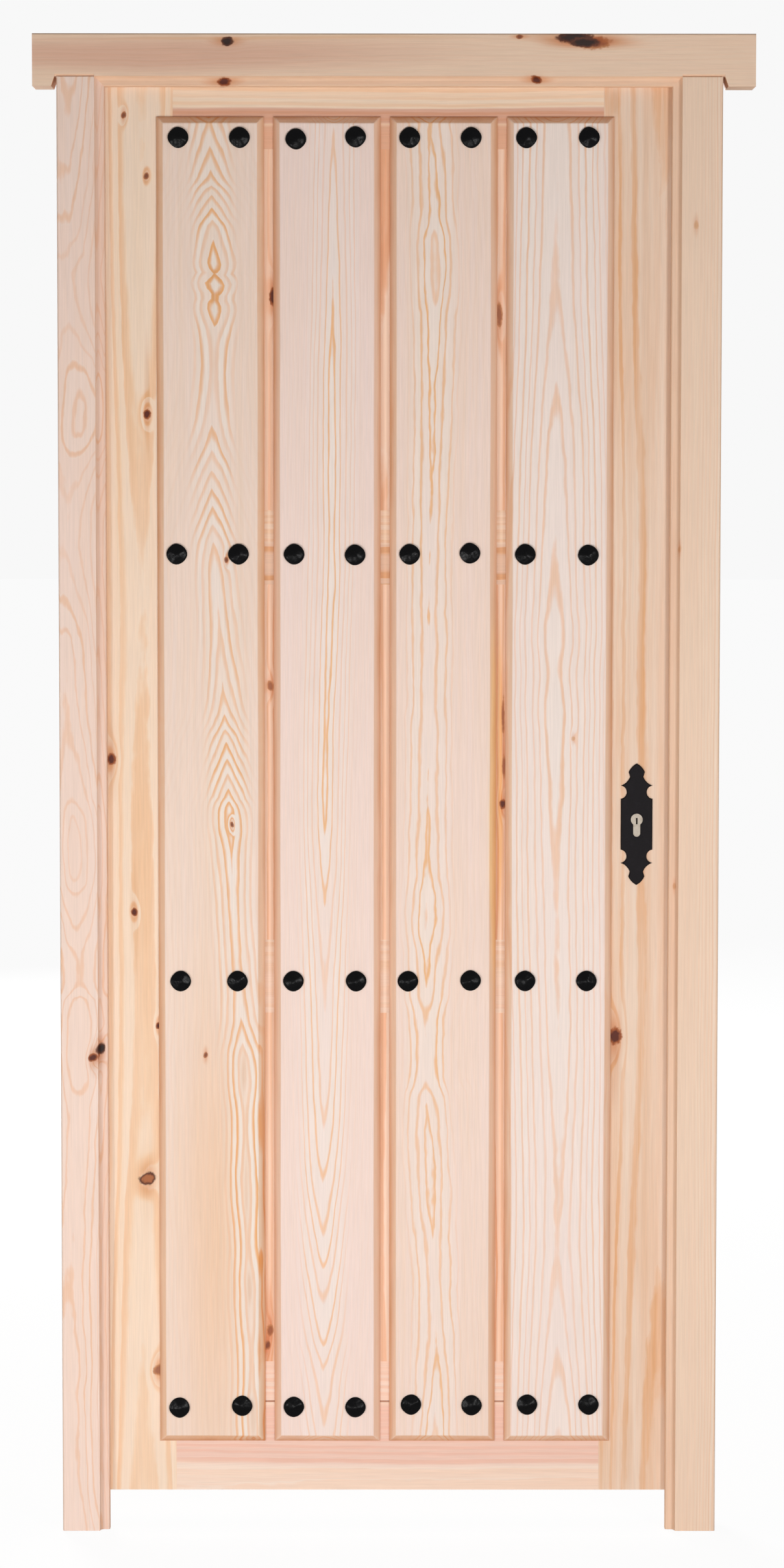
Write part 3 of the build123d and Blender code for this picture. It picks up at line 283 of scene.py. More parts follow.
class Board(Nodes):
    """The nodes of one board's pine.

    Attributes:
        pine: What the board is like.
        place, warped: Place on it, plain and with noise in it, as across, depth and along in millimetres.
        facing: Direction of the surface, turned like the place.
        slow, wavy, fibre: Slow, quick and fine noise.
        across, depth, along: Parts of the warped place.
    """

    # sizes of the noises in millimetres, across and along the grain
    SLOW, WAVY, FIBRE, JAGGED, RAGGED, STREAK = (75, 430), (17, 80), (1.5, 60), (11, 36), (5, 7), (9, 480)
    # depths behind the face over which the painted shade beside planks and frame and the joint lines end, the painted
    # shade of recesses rises, and that painted shade fades on the inside
    DUSTY, OILY, CLEAN = (14, 20), (4, 11), (26, 36)
    # the curve of the pith's place reads no value below 0, so it is raised by more than half the door's width
    RAISED = 600

    def __init__(self, pine: Pine, owner: Material) -> None:
        """Work out what every step starts from.

        Args:
            pine: What the board is like.
            owner: Its new material.
        """
        super().__init__(owner)
        self.pine = pine
        read = self.add("TexCoord", out="Object")
        both = [self.add("VectorMath", {0: read, 3: 1 / MM}, operation="SCALE"), read.node.outputs["Normal"]]
        if pine.grain is Grain.LEVEL:
            both = [self.add("CombineXYZ", {0: z, 1: y, 2: x}) for x, y, z in map(self.split, both)]
        self.place, self.facing = both
        self.slow = self._noise(self.place, self.SLOW, 1.0, 1)
        self.wavy = self._noise(self.place, self.WAVY, 1.5, 1)
        self.fibre = self._noise(self.place, self.FIBRE)
        # slow and quick noise shift the place, so that no line is ruled
        self.warped = self.place
        for noise, reach in ((self.slow, (11.0, 9.0, 20.0)), (self.wavy, (5.0 * pine.waviness, 4.0, 7.0))):
            centred = self.add("VectorMath", {0: noise, 1: (0.5, 0.5, 0.5)}, operation="SUBTRACT")
            self.warped = self.add("VectorMath", {0: centred, 1: reach, 2: self.warped}, operation="MULTIPLY_ADD")
        self.across, self.depth, self.along = self.split(self.warped)

    def lay(self) -> None:
        """Lay the pine on the board."""
        rings, aside = self._ring_number()
        rings, masks = self._bent(rings)
        late, strength = self._late_wood(rings, aside)
        colour = self._lined(self._early_wood(), late, strength)
        colour = self._soaked_and_shaded(self._knotted(colour, masks))
        # late wood is harder, so it shines more and stands out after sanding
        rough = self.calc("MULTIPLY_ADD", self.fibre, 0.16, self.span(late, 0.0, 1.0, 0.54, 0.42))
        height = self.calc("MULTIPLY_ADD", late, 0.35, self.fibre)
        bump = self.add("Bump", {"Strength": 0.35, "Distance": 0.3 * MM, "Height": height})
        self.feed("Principled BSDF", {"Base Color": colour, "Roughness": rough, "Normal": bump, "IOR": 1.45,
                                      "Specular IOR Level": 0.35})

    def _noise(self, place: Socket, size: tuple[float, float], detail: float = 2.0, out: int = 0) -> Socket:
        """Make noise stretched along the grain and shifted by the board's seed.

        Args:
            place: Place on the board.
            size: Millimetres across and along that one unit of noise takes.
            detail: How many finer layers it has.
            out: 0 for one value, 1 for three.

        Returns:
            The noise.
        """
        across, along = size
        shift = tuple(self.pine.seed * step for step in (7.31, 3.17, 5.53))
        place = self.add("Mapping", {"Vector": place, "Location": shift, "Scale": (1 / across, 1 / across, 1 / along)})
        return self.add("TexNoise", {"Vector": place, "Detail": detail, "Scale": 1.0}, out=out)

    def _distance(self, spot: Knot | StainOrShade, half_across: float, half_along: float, ruled: bool = False) -> Socket:
        """Measure the distance from a spot's centre in half sizes, so that 1 is an ellipse's edge.

        Args:
            spot: The knot, or the stain or strip of painted shade.
            half_across, half_along: The half sizes.
            ruled: Whether the ellipse has no noise in it.

        Returns:
            The distance.
        """
        shift = (-spot.across / half_across, 0, -spot.along / half_along)
        local = self.add("Mapping", {"Vector": self.place if ruled else self.warped, "Location": shift,
                                     "Scale": (1 / half_across, 0, 1 / half_along)})
        return self.add("VectorMath", {0: local}, out=1, operation="LENGTH")

    def _behind(self, depths: tuple[float, float], before: float, past: float) -> Socket:
        """Shade from the one value to the other between two depths behind the board's face."""
        return self.span(self.depth, *(self.pine.face + depth for depth in depths), before, past)

    def _ring_number(self) -> tuple[Socket, Socket]:
        """Count the year rings between a point and the pith.

        The number is the distance across to the pith and the pith's depth, each raised to the peak, added and
        brought back by its root, over the ring spacing. A slow sine makes wide and narrow years.

        Returns:
            The ring number, and the distance across to the pith.
        """
        pine = self.pine
        raised = tuple((where, value + self.RAISED) for where, value in pine.pith)
        centre = self.curve(self.along, raised, 2 * self.RAISED)
        aside = self.calc("ADD", self.calc("SUBTRACT", self.across, centre), self.RAISED)
        behind = self.curve(self.along, pine.rings, max(value for _, value in pine.rings) * 1.05)
        behind = self.calc("SUBTRACT", self.calc("MULTIPLY_ADD", behind, pine.spacing, pine.face), self.depth)
        powers = [self.calc("POWER", self.calc("ABSOLUTE", side), pine.peak) for side in (aside, behind)]
        rings = self.calc("POWER", self.calc("ADD", *powers), 1 / pine.peak)
        rings = self.calc("MULTIPLY", rings, 1 / pine.spacing)
        rings = self.calc("MULTIPLY_ADD", self.wavy, pine.waviness, rings)
        rings = self.calc("MULTIPLY_ADD", self._noise(self.warped, self.JAGGED), pine.waviness * 0.5, rings)
        years = self.calc("SINE", self.calc("MULTIPLY_ADD", rings, 2.3, pine.seed))
        return self.calc("MULTIPLY_ADD", years, pine.uneven, rings), aside

    def _bent(self, rings: Socket) -> tuple[Socket, list[tuple[Knot, Socket]]]:
        """Bend the year rings into an eye round each knot, by a bell-shaped hill drawn out along the grain.

        Args:
            rings: Ring number.

        Returns:
            The ring number, and each knot with the distance from its centre in its own half sizes, made ragged.
        """
        masks = []
        ragged = self._noise(self.warped, self.RAGGED)
        for knot in self.pine.knots:
            bend = self._distance(knot, knot.width / 2, knot.height)
            hill = self.calc("POWER", self.span(bend, 4.0, 0.0, shape="SMOOTHERSTEP"), 2.5)
            rings = self.calc("MULTIPLY_ADD", hill, knot.swell, rings)
            away = self.calc("ADD", self._distance(knot, knot.width / 2, knot.height / 2), -0.4)
            masks.append((knot, self.calc("MULTIPLY_ADD", ragged, 0.8, away)))
        return rings, masks

    def _late_wood(self, rings: Socket, aside: Socket) -> tuple[Socket, Socket]:
        """Turn the ring number to the share of late wood: it rises slowly in each ring and ends in a sharp edge.

        Args:
            rings: Ring number.
            aside: Distance across to the pith.

        Returns:
            Share of late wood, and how strong this ring's line is, since some summers leave a darker line.
        """
        part = self.calc("FRACT", rings)
        rise = self.span(part, self.pine.onset, 0.8, shape="SMOOTHSTEP")
        fall = self.span(part, 0.84, 1.0, 1.0, 0.0, "SMOOTHSTEP")
        year = self.calc("ADD", self.calc("FLOOR", rings), self.pine.seed)
        luck = self.span(self.add("TexWhiteNoise", {"W": year}, noise_dimensions="1D"), 0.0, 1.0, 0.35, 1.0)
        reach = self.pine.reach
        far = self.span(self.calc("ABSOLUTE", aside), reach * 0.4, reach, 1.0, 0.07, "SMOOTHSTEP")
        patchy = self.span(self.slow, 0.3, 0.6, 0.6, 1.0)
        strength = self.calc("MULTIPLY", self.calc("MULTIPLY", luck, far), patchy)
        return self.calc("MULTIPLY", rise, fall), strength

    def _early_wood(self) -> Socket:
        """Colour the board before its lines: slow bands of heartwood, then each stain and each strip of painted shade
        over them.

        Returns:
            The colour.
        """
        pine = self.pine
        bands = self.calc("ADD", self.slow, self._noise(self.warped, self.STREAK, 3.0))
        colour = self.tint(self.span(bands, 0.8, 1.25, 0.0, pine.warmth), pine.early, pine.heart)
        outside = self._behind(self.DUSTY, 1.0, 0.0)
        for stain in pine.stains_and_shades:
            away = self._distance(stain, stain.half_across, stain.half_along, stain.ruled)
            share = self.span(away, 1.0, 1.0 - stain.soft, 0.0, stain.strength, "SMOOTHSTEP")
            if stain.ruled:
                # painted shade beside planks and frame, and joint lines, stay near the outside face
                share = self.calc("MULTIPLY", share, outside)
            colour = self.tint(share, colour, stain.colour)
        return colour

    def _lined(self, colour: Socket, late: Socket, strength: Socket) -> Socket:
        """Lay the year rings' lines on, and bleach the early wood beside them.

        Args:
            colour: Colour so far.
            late, strength: Share of late wood and its ring's strength.

        Returns:
            The colour.
        """
        early = self.calc("MULTIPLY", self.span(late, 0.0, 0.5, self.pine.bleached, 0.0), strength)
        colour = self.tint(early, colour, "#f6f0e9")
        share = self.calc("MULTIPLY", self.calc("MULTIPLY", late, strength), self.pine.contrast)
        # late wood is laid on by multiplying, so that it stays warm inside a heartwood band
        return self.tint(share, colour, self.pine.late, "MULTIPLY")

    def _knotted(self, colour: Socket, masks: list[tuple[Knot, Socket]]) -> Socket:
        """Lay each knot on, with the resin that is drawn out along the grain over and under it like a flame.

        Args:
            colour: Colour so far.
            masks: Knots with the distance from each.

        Returns:
            The colour.
        """
        for knot, away in masks:
            middle, rim, shows = knot.look.value
            flame = self._distance(knot, knot.width * 0.75, knot.height * 2.0)
            flame = self.span(flame, 1.0, 0.15, 0.0, 0.6 * shows, "SMOOTHSTEP")
            colour = self.tint(flame, colour, "#e2a66c", "MULTIPLY")
            inner = self.tint(self.span(away, 0.95, 0.45, shape="SMOOTHSTEP"), rim, middle)
            colour = self.tint(self.span(away, 1.2, 0.85, 0.0, shows, "SMOOTHSTEP"), colour, inner)
        return colour

    def _soaked_and_shaded(self, colour: Socket) -> Socket:
        """Brown the moulded sides and bevels, partly as oil soaks in and partly as painted shade, and end grain, which
        soaks up the most oil; and darken what lies low with painted shade.

        Args:
            colour: Colour so far.

        Returns:
            The colour.
        """
        soak_and_shade = self.pine.soak_and_shade
        front, end = (self.calc("ABSOLUTE", turn) for turn in self.split(self.facing)[1:])
        # sides and bevels turned from the front: partly oil soaked in, partly painted shade
        colour = self.tint(self.span(front, 0.97, 0.75, 0.0, 0.65 * soak_and_shade), colour, "#fde0b8", "MULTIPLY")
        colour = self.tint(self.span(end, 0.45, 0.95, 0.0, 0.45), colour, "#e0b488", "MULTIPLY")
        # painted shade: what lies deeper behind the face is darker
        low = self._behind(self.OILY, 0.0, 0.8 * soak_and_shade)
        # the painted shade of recesses fades out on the inside of the door
        inner = self._behind(self.CLEAN, 1.0, 0.15)
        colour = self.tint(self.calc("MULTIPLY", low, inner), colour, "#d9a878", "MULTIPLY")
        # fine noise flecks it all
        fleck = self.span(self.fibre, 0.3, 0.7, 0.95, 1.03)
        return self.add("VectorMath", {0: colour, 3: fleck}, operation="SCALE")


@dataclass(frozen=True)
class BlackIron:
    """Forged iron, blacked with oil and heat: nearly black with a dull skin, brighter where the hammer polished it.

    Attributes:
        name: Material's name.
        skin, worn: sRGB hex colours of the oil skin and of the places worn by the hammer.
        dent: Size of a hammer dent.
        roughness: Middle roughness of the skin.
        sheen: How much the skin mirrors.
    """

    name: str = "forged black iron"
    skin: str = "#040405"
    worn: str = "#0c0b0d"
    dent: float = 4.0
    roughness: float = 0.24
    sheen: float = 0.07

    def material(self) -> Material:
        """Build the material: a dielectric oil skin over iron, with hammer dents and fine scale in the bump.

        Returns:
            The material.
        """
        made = bpy.data.materials.new(self.name)
        nodes = Nodes(made)
        place = nodes.add("TexCoord", out="Object")
        dents = nodes.add("TexVoronoi", {"Vector": place, "Scale": 1 / (self.dent * MM), "Smoothness": 0.6},
                          feature="SMOOTH_F1")
        scale = nodes.add("TexNoise", {"Vector": place, "Scale": 1 / (0.8 * MM), "Detail": 3.0})
        patches = nodes.add("TexNoise", {"Vector": place, "Scale": 1 / (9 * MM), "Detail": 3.0})
        height = nodes.calc("MULTIPLY_ADD", scale, 0.25, dents)
        nodes.feed("Principled BSDF", {
            "Base Color": nodes.tint(nodes.span(patches, 0.52, 0.75, 0.0, 0.45), self.skin, self.worn),
            "Roughness": nodes.span(scale, 0.3, 0.7, self.roughness - 0.1, self.roughness + 0.12),
            "Normal": nodes.add("Bump", {"Strength": 0.5, "Distance": 0.4 * MM, "Height": height}),
            "Specular IOR Level": self.sheen})
        return made


@dataclass(frozen=True)
class TurnedMetal:
    """Machined and brushed metal: nickel on the cylinder, zinc on the lock, both with fine lines one way.

    Attributes:
        name: Material's name.
        colour, tarnish: sRGB hex colours of the clean and of the tarnished metal.
        roughness: Middle roughness.
        brushed_along: Brushed lines in a millimetre, along x, y and z.
    """

    name: str
    colour: str
    roughness: float
    brushed_along: tuple[float, float, float]
    tarnish: str = "#6f6252"

    def material(self) -> Material:
        """Build the material: noise stretched along the brushing in roughness and bump, and a little tarnish.

        Returns:
            The material.
        """
        made = bpy.data.materials.new(self.name)
        nodes = Nodes(made)
        place = nodes.add("TexCoord", out="Object")
        lines = nodes.add("Mapping", {"Vector": place, "Scale": tuple(s / MM for s in self.brushed_along)})
        lines = nodes.add("TexNoise", {"Vector": lines, "Scale": 1.0, "Detail": 2.0})
        patches = nodes.add("TexNoise", {"Vector": place, "Scale": 1 / (6 * MM), "Detail": 3.0})
        nodes.feed("Principled BSDF", {
            "Base Color": nodes.tint(nodes.span(patches, 0.5, 0.8, 0.0, 0.5), self.colour, self.tarnish),
            "Roughness": nodes.span(lines, 0.3, 0.7, self.roughness - 0.07, self.roughness + 0.1),
            "Normal": nodes.add("Bump", {"Strength": 0.15, "Distance": 0.1 * MM, "Height": lines}),
            "Metallic": 1.0})
        return made


def grid_mesh(name: str, points: np.ndarray, closed: bool = False) -> bpy.types.Mesh:
    """Make a mesh of one or more grids of points: each cell between four neighbours is one face.

    Args:
        name: Mesh's name.
        points: Array of rows by columns by 3 in metres, or of several such grids.
        closed: Whether a grid's last column joins its first and its first and last row are closed by one face each.

    Returns:
        The mesh, shaded smooth.
    """
    rows, columns = points.shape[-3:-1]
    index = np.arange(rows * columns).reshape(rows, columns)
    rims = [index[0, ::-1], index[-1]] if closed else []
    if closed:
        index = np.hstack([index, index[:, :1]])
    cells = np.stack([index[:-1, :-1], index[:-1, 1:], index[1:, 1:], index[1:, :-1]], axis=-1).reshape(-1, 4)
    firsts = range(0, points.size // 3, rows * columns)
    faces = [group for first in firsts for group in (cells + first).tolist() + [(rim + first).tolist() for rim in rims]]
    mesh = bpy.data.meshes.new(name)
    mesh.from_pydata(points.reshape(-1, 3).tolist(), [], faces)
    mesh.validate()
    mesh.shade_smooth()
    return mesh


def show(name: str, mesh: bpy.types.Mesh, body: str, finish: Material,
         instead_of: tuple[str, ...] = ()) -> bpy.types.Object:
    """Put a new piece in the scene, on its body and in its finish.

    Args:
        name: Piece's name.
        mesh: Its mesh, in place.
        body: Body that it moves with.
        finish: Its material.
        instead_of: CAD nodes that it stands for.

    Returns:
        The piece.
    """
    piece = bpy.data.objects.new(name, mesh)
    bpy.context.scene.collection.objects.link(piece)
    piece.data.materials.append(finish)
    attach(piece, body)
    if instead_of:
        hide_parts(*instead_of)
    return piece


def dress(node: str, finish: Material) -> None:
    """Give a CAD node a finish.

    Args:
        node: The node's name.
        finish: Its material.
    """
    node_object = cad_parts[node]
    node_object.data.materials.clear()
    node_object.data.materials.append(finish)


@dataclass
class Plank:
    """A bevelled plank nailed on the outside of the leaf.

    Attributes:
        number: 1 to 4 from the hinges.
        finish: Its pine.
        bevel, edge: Width of the bevel, and the upright edge below it.
        shrunk: How far the plank's edges drew back as it dried.
        arris: Radius that sanding left on the arrises.
        wander: How far the bevel's upper edge wanders.
        wave: Half the depth of the waves that planing left on the face.
        lip: How far the skin reaches in over the hidden back.
        node: CAD node that the plank stands for.
    """

    number: int
    finish: Pine
    bevel: float = 9.5
    edge: float = 2.0
    shrunk: float = 2.5
    arris: float = 1.0
    wander: float = 0.35
    wave: float = 0.08
    lip: float = 20.0
    node: str = field(init=False)

    def __post_init__(self) -> None:
        """Name the CAD node that the plank stands for."""
        self.node = f"plank_{self.number}"

    def build(self) -> None:
        """Build the plank, dress it and put it on the leaf."""
        low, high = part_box(self.node)
        drawn_in = Vector((self.shrunk * MM, 0, self.shrunk * MM))
        low, high = low + drawn_in, high - drawn_in
        mesh = grid_mesh(self.node + "_sanded", self.surface(low, high))
        show(self.node + "_sanded", mesh, "leaf", self.finish.material(), (self.node,))

    def surface(self, low: Any, high: Any) -> np.ndarray:
        """Work out the plank's skin, which is open only in the middle of its hidden back.

        Grid lines lie at chosen insets from each edge. The height over the leaf is a function of the inset, which is
        the distance to the nearest edge: it rises in a straight line over the bevel and stays level past it, and the
        corner between the two is rounded by a soft minimum. The face waves by a tenth of a millimetre, as planing
        leaves it. Two outer rings of points carry the skin down the edge and round onto the back.

        Args:
            low, high: Corners of the plank's box in metres.

        Returns:
            Points as rows along the plank by columns across it.
        """
        insets = np.array([0, 0.3, 0.8, 2, 4.5, 6.5, 7.9, 8.6, 9.1, 9.6, 10.2, 11.1, 12.5, 18]) * MM
        across = self._lines(low.x, high.x, insets, 9)
        along = self._lines(low.z, high.z, insets, 70)
        x, z = np.meshgrid(across, along)
        inset = np.minimum(np.minimum(x - low.x, high.x - x), np.minimum(z - low.z, high.z - z)) / MM
        wander = self.wander * np.sin(z / MM / 83 + self.number) * np.sin(x / MM / 37)
        thick = (high.y - low.y) / MM
        slope = self.edge + (thick - self.edge) * (inset + wander * (inset > 1)) / self.bevel
        soft = self.arris * 0.45
        rise = -soft * np.logaddexp(-slope / soft, -thick / soft)
        rise = np.clip(rise + 0.02, 0, thick)
        rise -= self.wave * (1 + np.sin(z / MM / 140 + 2 * self.number) * np.cos(x / MM / 45)) * (inset > 15)
        y = high.y - rise * MM
        front = np.stack([x, y, z], axis=-1)
        foot = np.pad(front, ((1, 1), (1, 1), (0, 0)), mode="edge")
        foot[[0, -1], :, 1] = high.y
        foot[:, [0, -1], 1] = high.y
        back = np.pad(foot, ((1, 1), (1, 1), (0, 0)), mode="edge")
        inner = self.lip * MM
        for rim in (np.s_[0, :], np.s_[-1, :], np.s_[:, 0], np.s_[:, -1]):
            back[rim][..., 0] = np.clip(back[rim][..., 0], low.x + inner, high.x - inner)
            back[rim][..., 2] = np.clip(back[rim][..., 2], low.z + inner, high.z - inner)
        return back

    def _lines(self, low: float, high: float, insets: np.ndarray, inner: int) -> np.ndarray:
        """Place grid lines at the insets from both ends, and evenly between.

        Args:
            low, high: The two ends.
            insets: Distances from each end, in rising order.
            inner: How many lines stand between.

        Returns:
            The lines' places.
        """
        middle = np.linspace(low + insets[-1], high - insets[-1], inner + 2)[1:-1]
        return np.concatenate([low + insets, middle, high - insets[::-1]])


@dataclass
class Nails:
    """The eight forged nails of one plank, with hammered heads.

    Attributes:
        number: Plank's number.
        finish: Their material.
        radius, height: Size of a head.
        facets: Hammer blows round a head.
        turns: Points round a head.
        rings: Shares of the radius at which the rings of points stand.
        corners, sway, ripple: Shares of the radius by which the rim has four corners and wavers.
        soft: How softly the hammer marks meet.
        spread: More than a head's size and less than the distance between two, in metres.
    """

    number: int
    finish: Material
    radius: float = 15.0
    height: float = 7.5
    facets: int = 8
    turns: int = 40
    rings: tuple[float, ...] = (0.12, 0.25, 0.38, 0.5, 0.62, 0.73, 0.83, 0.91, 0.96, 0.99, 1.0)
    corners: float = 0.018
    sway: float = 0.007
    ripple: float = 0.005
    soft: float = 0.22
    spread: float = 0.03

    def build(self) -> None:
        """Forge the heads over their CAD nails as one piece."""
        node = f"plank_{self.number}_nails"
        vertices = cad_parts[node].data.vertices
        points = np.empty(3 * len(vertices))
        vertices.foreach_get("co", points)
        points = points.reshape(-1, 3)
        luck = np.random.default_rng(40 + self.number)
        face = points[:, 1].min() + self.height * MM
        skins = np.array([self.head(centre, face, luck) for centre in self._centres(points)])
        mesh = grid_mesh(f"{node}_forged", skins, closed=True)
        show(f"{node}_forged", mesh, "leaf", self.finish, (node,))

    def _centres(self, points: np.ndarray) -> np.ndarray:
        """Find the middles of the heads: the outermost points that stand close together, averaged.

        Args:
            points: The CAD nails' points, in metres.

        Returns:
            Each head's place across and up.
        """
        tips = points[points[:, 1] < points[:, 1].min() + 0.2 * MM][:, [0, 2]]
        groups: list[np.ndarray] = []
        for place in tips:
            if not any(np.linalg.norm(place - group[0]) < self.spread for group in groups):
                groups.append(tips[np.linalg.norm(tips - place, axis=1) < self.spread])
        return np.array([group.mean(axis=0) for group in groups])

    def head(self, centre: np.ndarray, face: float, luck: np.random.Generator) -> np.ndarray:
        """Work out one hammered head.

        The height is that of a dome, the root of one less the radius squared, cut by the lowest of several planes
        that lean outwards, one for each hammer blow, by a soft minimum. The rim has four soft corners, wavers a little
        and turns under.

        Args:
            centre: Head's place across and up, in metres.
            face: Depth of the plank's face, in metres.
            luck: Source of the small differences between heads.

        Returns:
            Points as rings by turns, in metres.
        """
        angles = np.linspace(0, 2 * np.pi, self.turns, endpoint=False)
        share, angle = np.meshgrid(np.array(self.rings), angles, indexing="ij")
        waver = 1 + self.corners * np.cos(4 * angle) + self.sway * np.sin(3 * angle + luck.uniform(0, 6))
        waver += self.ripple * np.sin(5 * angle + luck.uniform(0, 6))
        # the dome ends before its own rim would, so that the head keeps a low edge
        dome = self.height * np.sqrt(1 - (share * 0.94) ** 2)
        blows = (0.5 + np.arange(self.facets)) * 2 * np.pi / self.facets + luck.uniform(-0.15, 0.15, self.facets)
        lean = luck.uniform(0.24, 0.38, self.facets)
        planes = [self.height * (1.08 + luck.uniform(-0.04, 0.03)) - tilt * self.radius * share * np.cos(angle - turn)
                  for turn, tilt in zip(blows, lean)]
        tops = np.stack([dome, *planes, np.full_like(dome, self.height * luck.uniform(0.95, 1.0))])
        height = -self.soft * np.log(np.exp(-tops / self.soft).sum(axis=0))
        height = np.clip(height, 0.5, self.height)
        radius = self.radius * share * waver / (1 + self.corners + self.sway + self.ripple)
        x = centre[0] + radius * np.cos(angle) * MM
        z = centre[1] + radius * np.sin(angle) * MM
        skin = np.stack([x, face - height * MM, z], axis=-1)
        under = skin[-1].copy()
        under[:, 1] = face + 0.3 * MM
        return np.concatenate([skin, under[None]])


PALE = Pine("pine, planed and sanded", Grain.UPRIGHT, 1.0, "#f4dfd2", "#f2cc9c", "#f0d0b2", 6.0, 12.5,
            ((0, 0),), ((0, 3),))


@dataclass
class OuterPlanks:
    """The four bevelled planks on the outside and their nails.

    Attributes:
        iron: The nails' material.
        figures: The grain of each plank from the hinges to the lock.
    """

    iron: Material
    figures: tuple[Pine, ...] = (
        replace(
            PALE, name="pine plank with two cathedrals", seed=1.3, early="#f3dacb", late="#f9ca88", spacing=8.0,
            peak=1.18, waviness=0.7, uneven=0.0, contrast=0.9, bleached=0.55, reach=38.0,
            pith=((125, -196), (352, -200), (500, -203), (669, -207), (850, -216), (1030, -224), (1260, -236),
                  (1480, -252), (1780, -246), (2035, -253)),
            rings=((125, 0.9), (160, 0.7), (230, 1.2), (352, 0.6), (420, 1.15), (500, 0.65), (590, 1.2), (669, 0.5),
                   (720, 1.6), (760, 2.4), (850, 2.6), (950, 2.4), (1000, 2), (1030, 1.6), (1067, 3), (1100, 4.5),
                   (1128, 5.8), (1155, 7), (1172, 8), (1202, 9), (1258, 9.8), (1320, 10.3), (1390, 10.6), (1420, 11.1),
                   (1444, 12), (1469, 13), (1497, 14), (1525, 15), (1552, 16), (1586, 17), (1640, 17.8), (1697, 18),
                   (1725, 17.7), (1748, 17.1), (1762, 16.85), (1776, 17.2), (1797, 16.55), (1812, 17.3), (1822, 16.9),
                   (1838, 17.1), (1850, 17.4), (1875, 18), (1893, 19), (1912, 20), (1930, 21), (1944, 22), (1974, 23),
                   (2035, 24.5)),
            knots=(Knot(-222, 1027, 6, 8, KnotLook.PIN, 2.2), Knot(-231, 1404, 6, 8, KnotLook.PIN),
                   Knot(-260, 689, 7, 9, KnotLook.PIN, 1.5), Knot(-250, 1800, 12, 14, KnotLook.GROWN_OVER, 0.3)),
            stains_and_shades=(StainOrShade(-207, 669, 5, 40, "#d9a06c", 0.45), StainOrShade(-203, 500, 4, 60, "#dca878", 0.4),
                    StainOrShade(-200, 352, 4, 35, "#d9a06c", 0.45), StainOrShade(-196, 160, 5, 40, "#dca878", 0.4),
                    StainOrShade(-245, 1795, 14, 60, "#dcae86", 0.3), StainOrShade(-250, 430, 80, 560, "#eec096", 0.6, 1.0))),
        replace(
            PALE, name="pine plank with a long spear", seed=2.7, early="#f6ddd3", late="#fbd088", spacing=5.6,
            peak=1.45, waviness=0.45, onset=0.62, contrast=0.8, bleached=0.5, reach=42.0, warmth=0.2,
            pith=((125, -90), (1100, -89), (1646, -78), (2035, -77)),
            rings=((125, 13.8), (177, 13), (244, 12), (286, 11), (348, 10), (409, 9), (471, 8), (546, 7), (744, 6),
                   (894, 5), (1020, 4), (1150, 3.7), (1400, 3.46), (1646, 3.55), (1774, 3.85), (1912, 4),
                   (2035, 4.25))),
        replace(
            PALE, name="pine plank with wavy eyes", seed=3.9, early="#f5dbce", late="#f8cc80", spacing=8.5, onset=0.56,
            peak=1.35, waviness=1.2, contrast=0.9, bleached=0.45, reach=40.0,
            pith=((125, 67), (300, 70), (650, 56), (904, 58), (1400, 60), (1825, 64), (2035, 56)),
            rings=((125, 1.7), (200, 2.4), (296, 3), (350, 3.2), (400, 3.05), (430, 2.9), (520, 2.5), (600, 2.7),
                   (631, 3), (669, 4), (700, 4.1), (780, 3.2), (850, 2.6), (904, 2.1), (960, 2.7), (1100, 2.9),
                   (1400, 3.1), (1600, 2.8), (1740, 2.6), (1825, 1.9), (1900, 2.6), (2035, 2.9)),
            stains_and_shades=(StainOrShade(152, 1050, 8, 330, "#ffdfae", 0.8, 0.5),)),
        replace(
            PALE, name="pine plank with straight stripes", seed=5.1, early="#f5ded4", late="#f6cc92", spacing=7.0,
            onset=0.6, peak=1.7, waviness=0.6, contrast=0.62, bleached=0.45, reach=90.0, warmth=0.2,
            pith=((125, 244), (622, 245), (1188, 238), (1554, 241), (2035, 240)),
            rings=((125, 3.2), (220, 4), (358, 5), (450, 5.3), (560, 5.2), (622, 5), (800, 4.6), (1000, 4.3),
                   (1100, 4.15), (1156, 4), (1188, 3.8), (1221, 4), (1245, 4.1), (1263, 4), (1300, 3.7), (1337, 4),
                   (1450, 4.6), (1554, 5), (1650, 5.5), (1738, 6), (1850, 6.4), (2035, 6.9)),
            knots=(Knot(264, 1149, 5, 7, KnotLook.FAINT, 0.5),)))

    def build(self) -> None:
        """Build the planks and the nails that hold them."""
        for number, finish in enumerate(self.figures, start=1):
            Plank(number, finish).build()
            Nails(number, self.iron).build()
            log.info("plank %d and its nails", number)


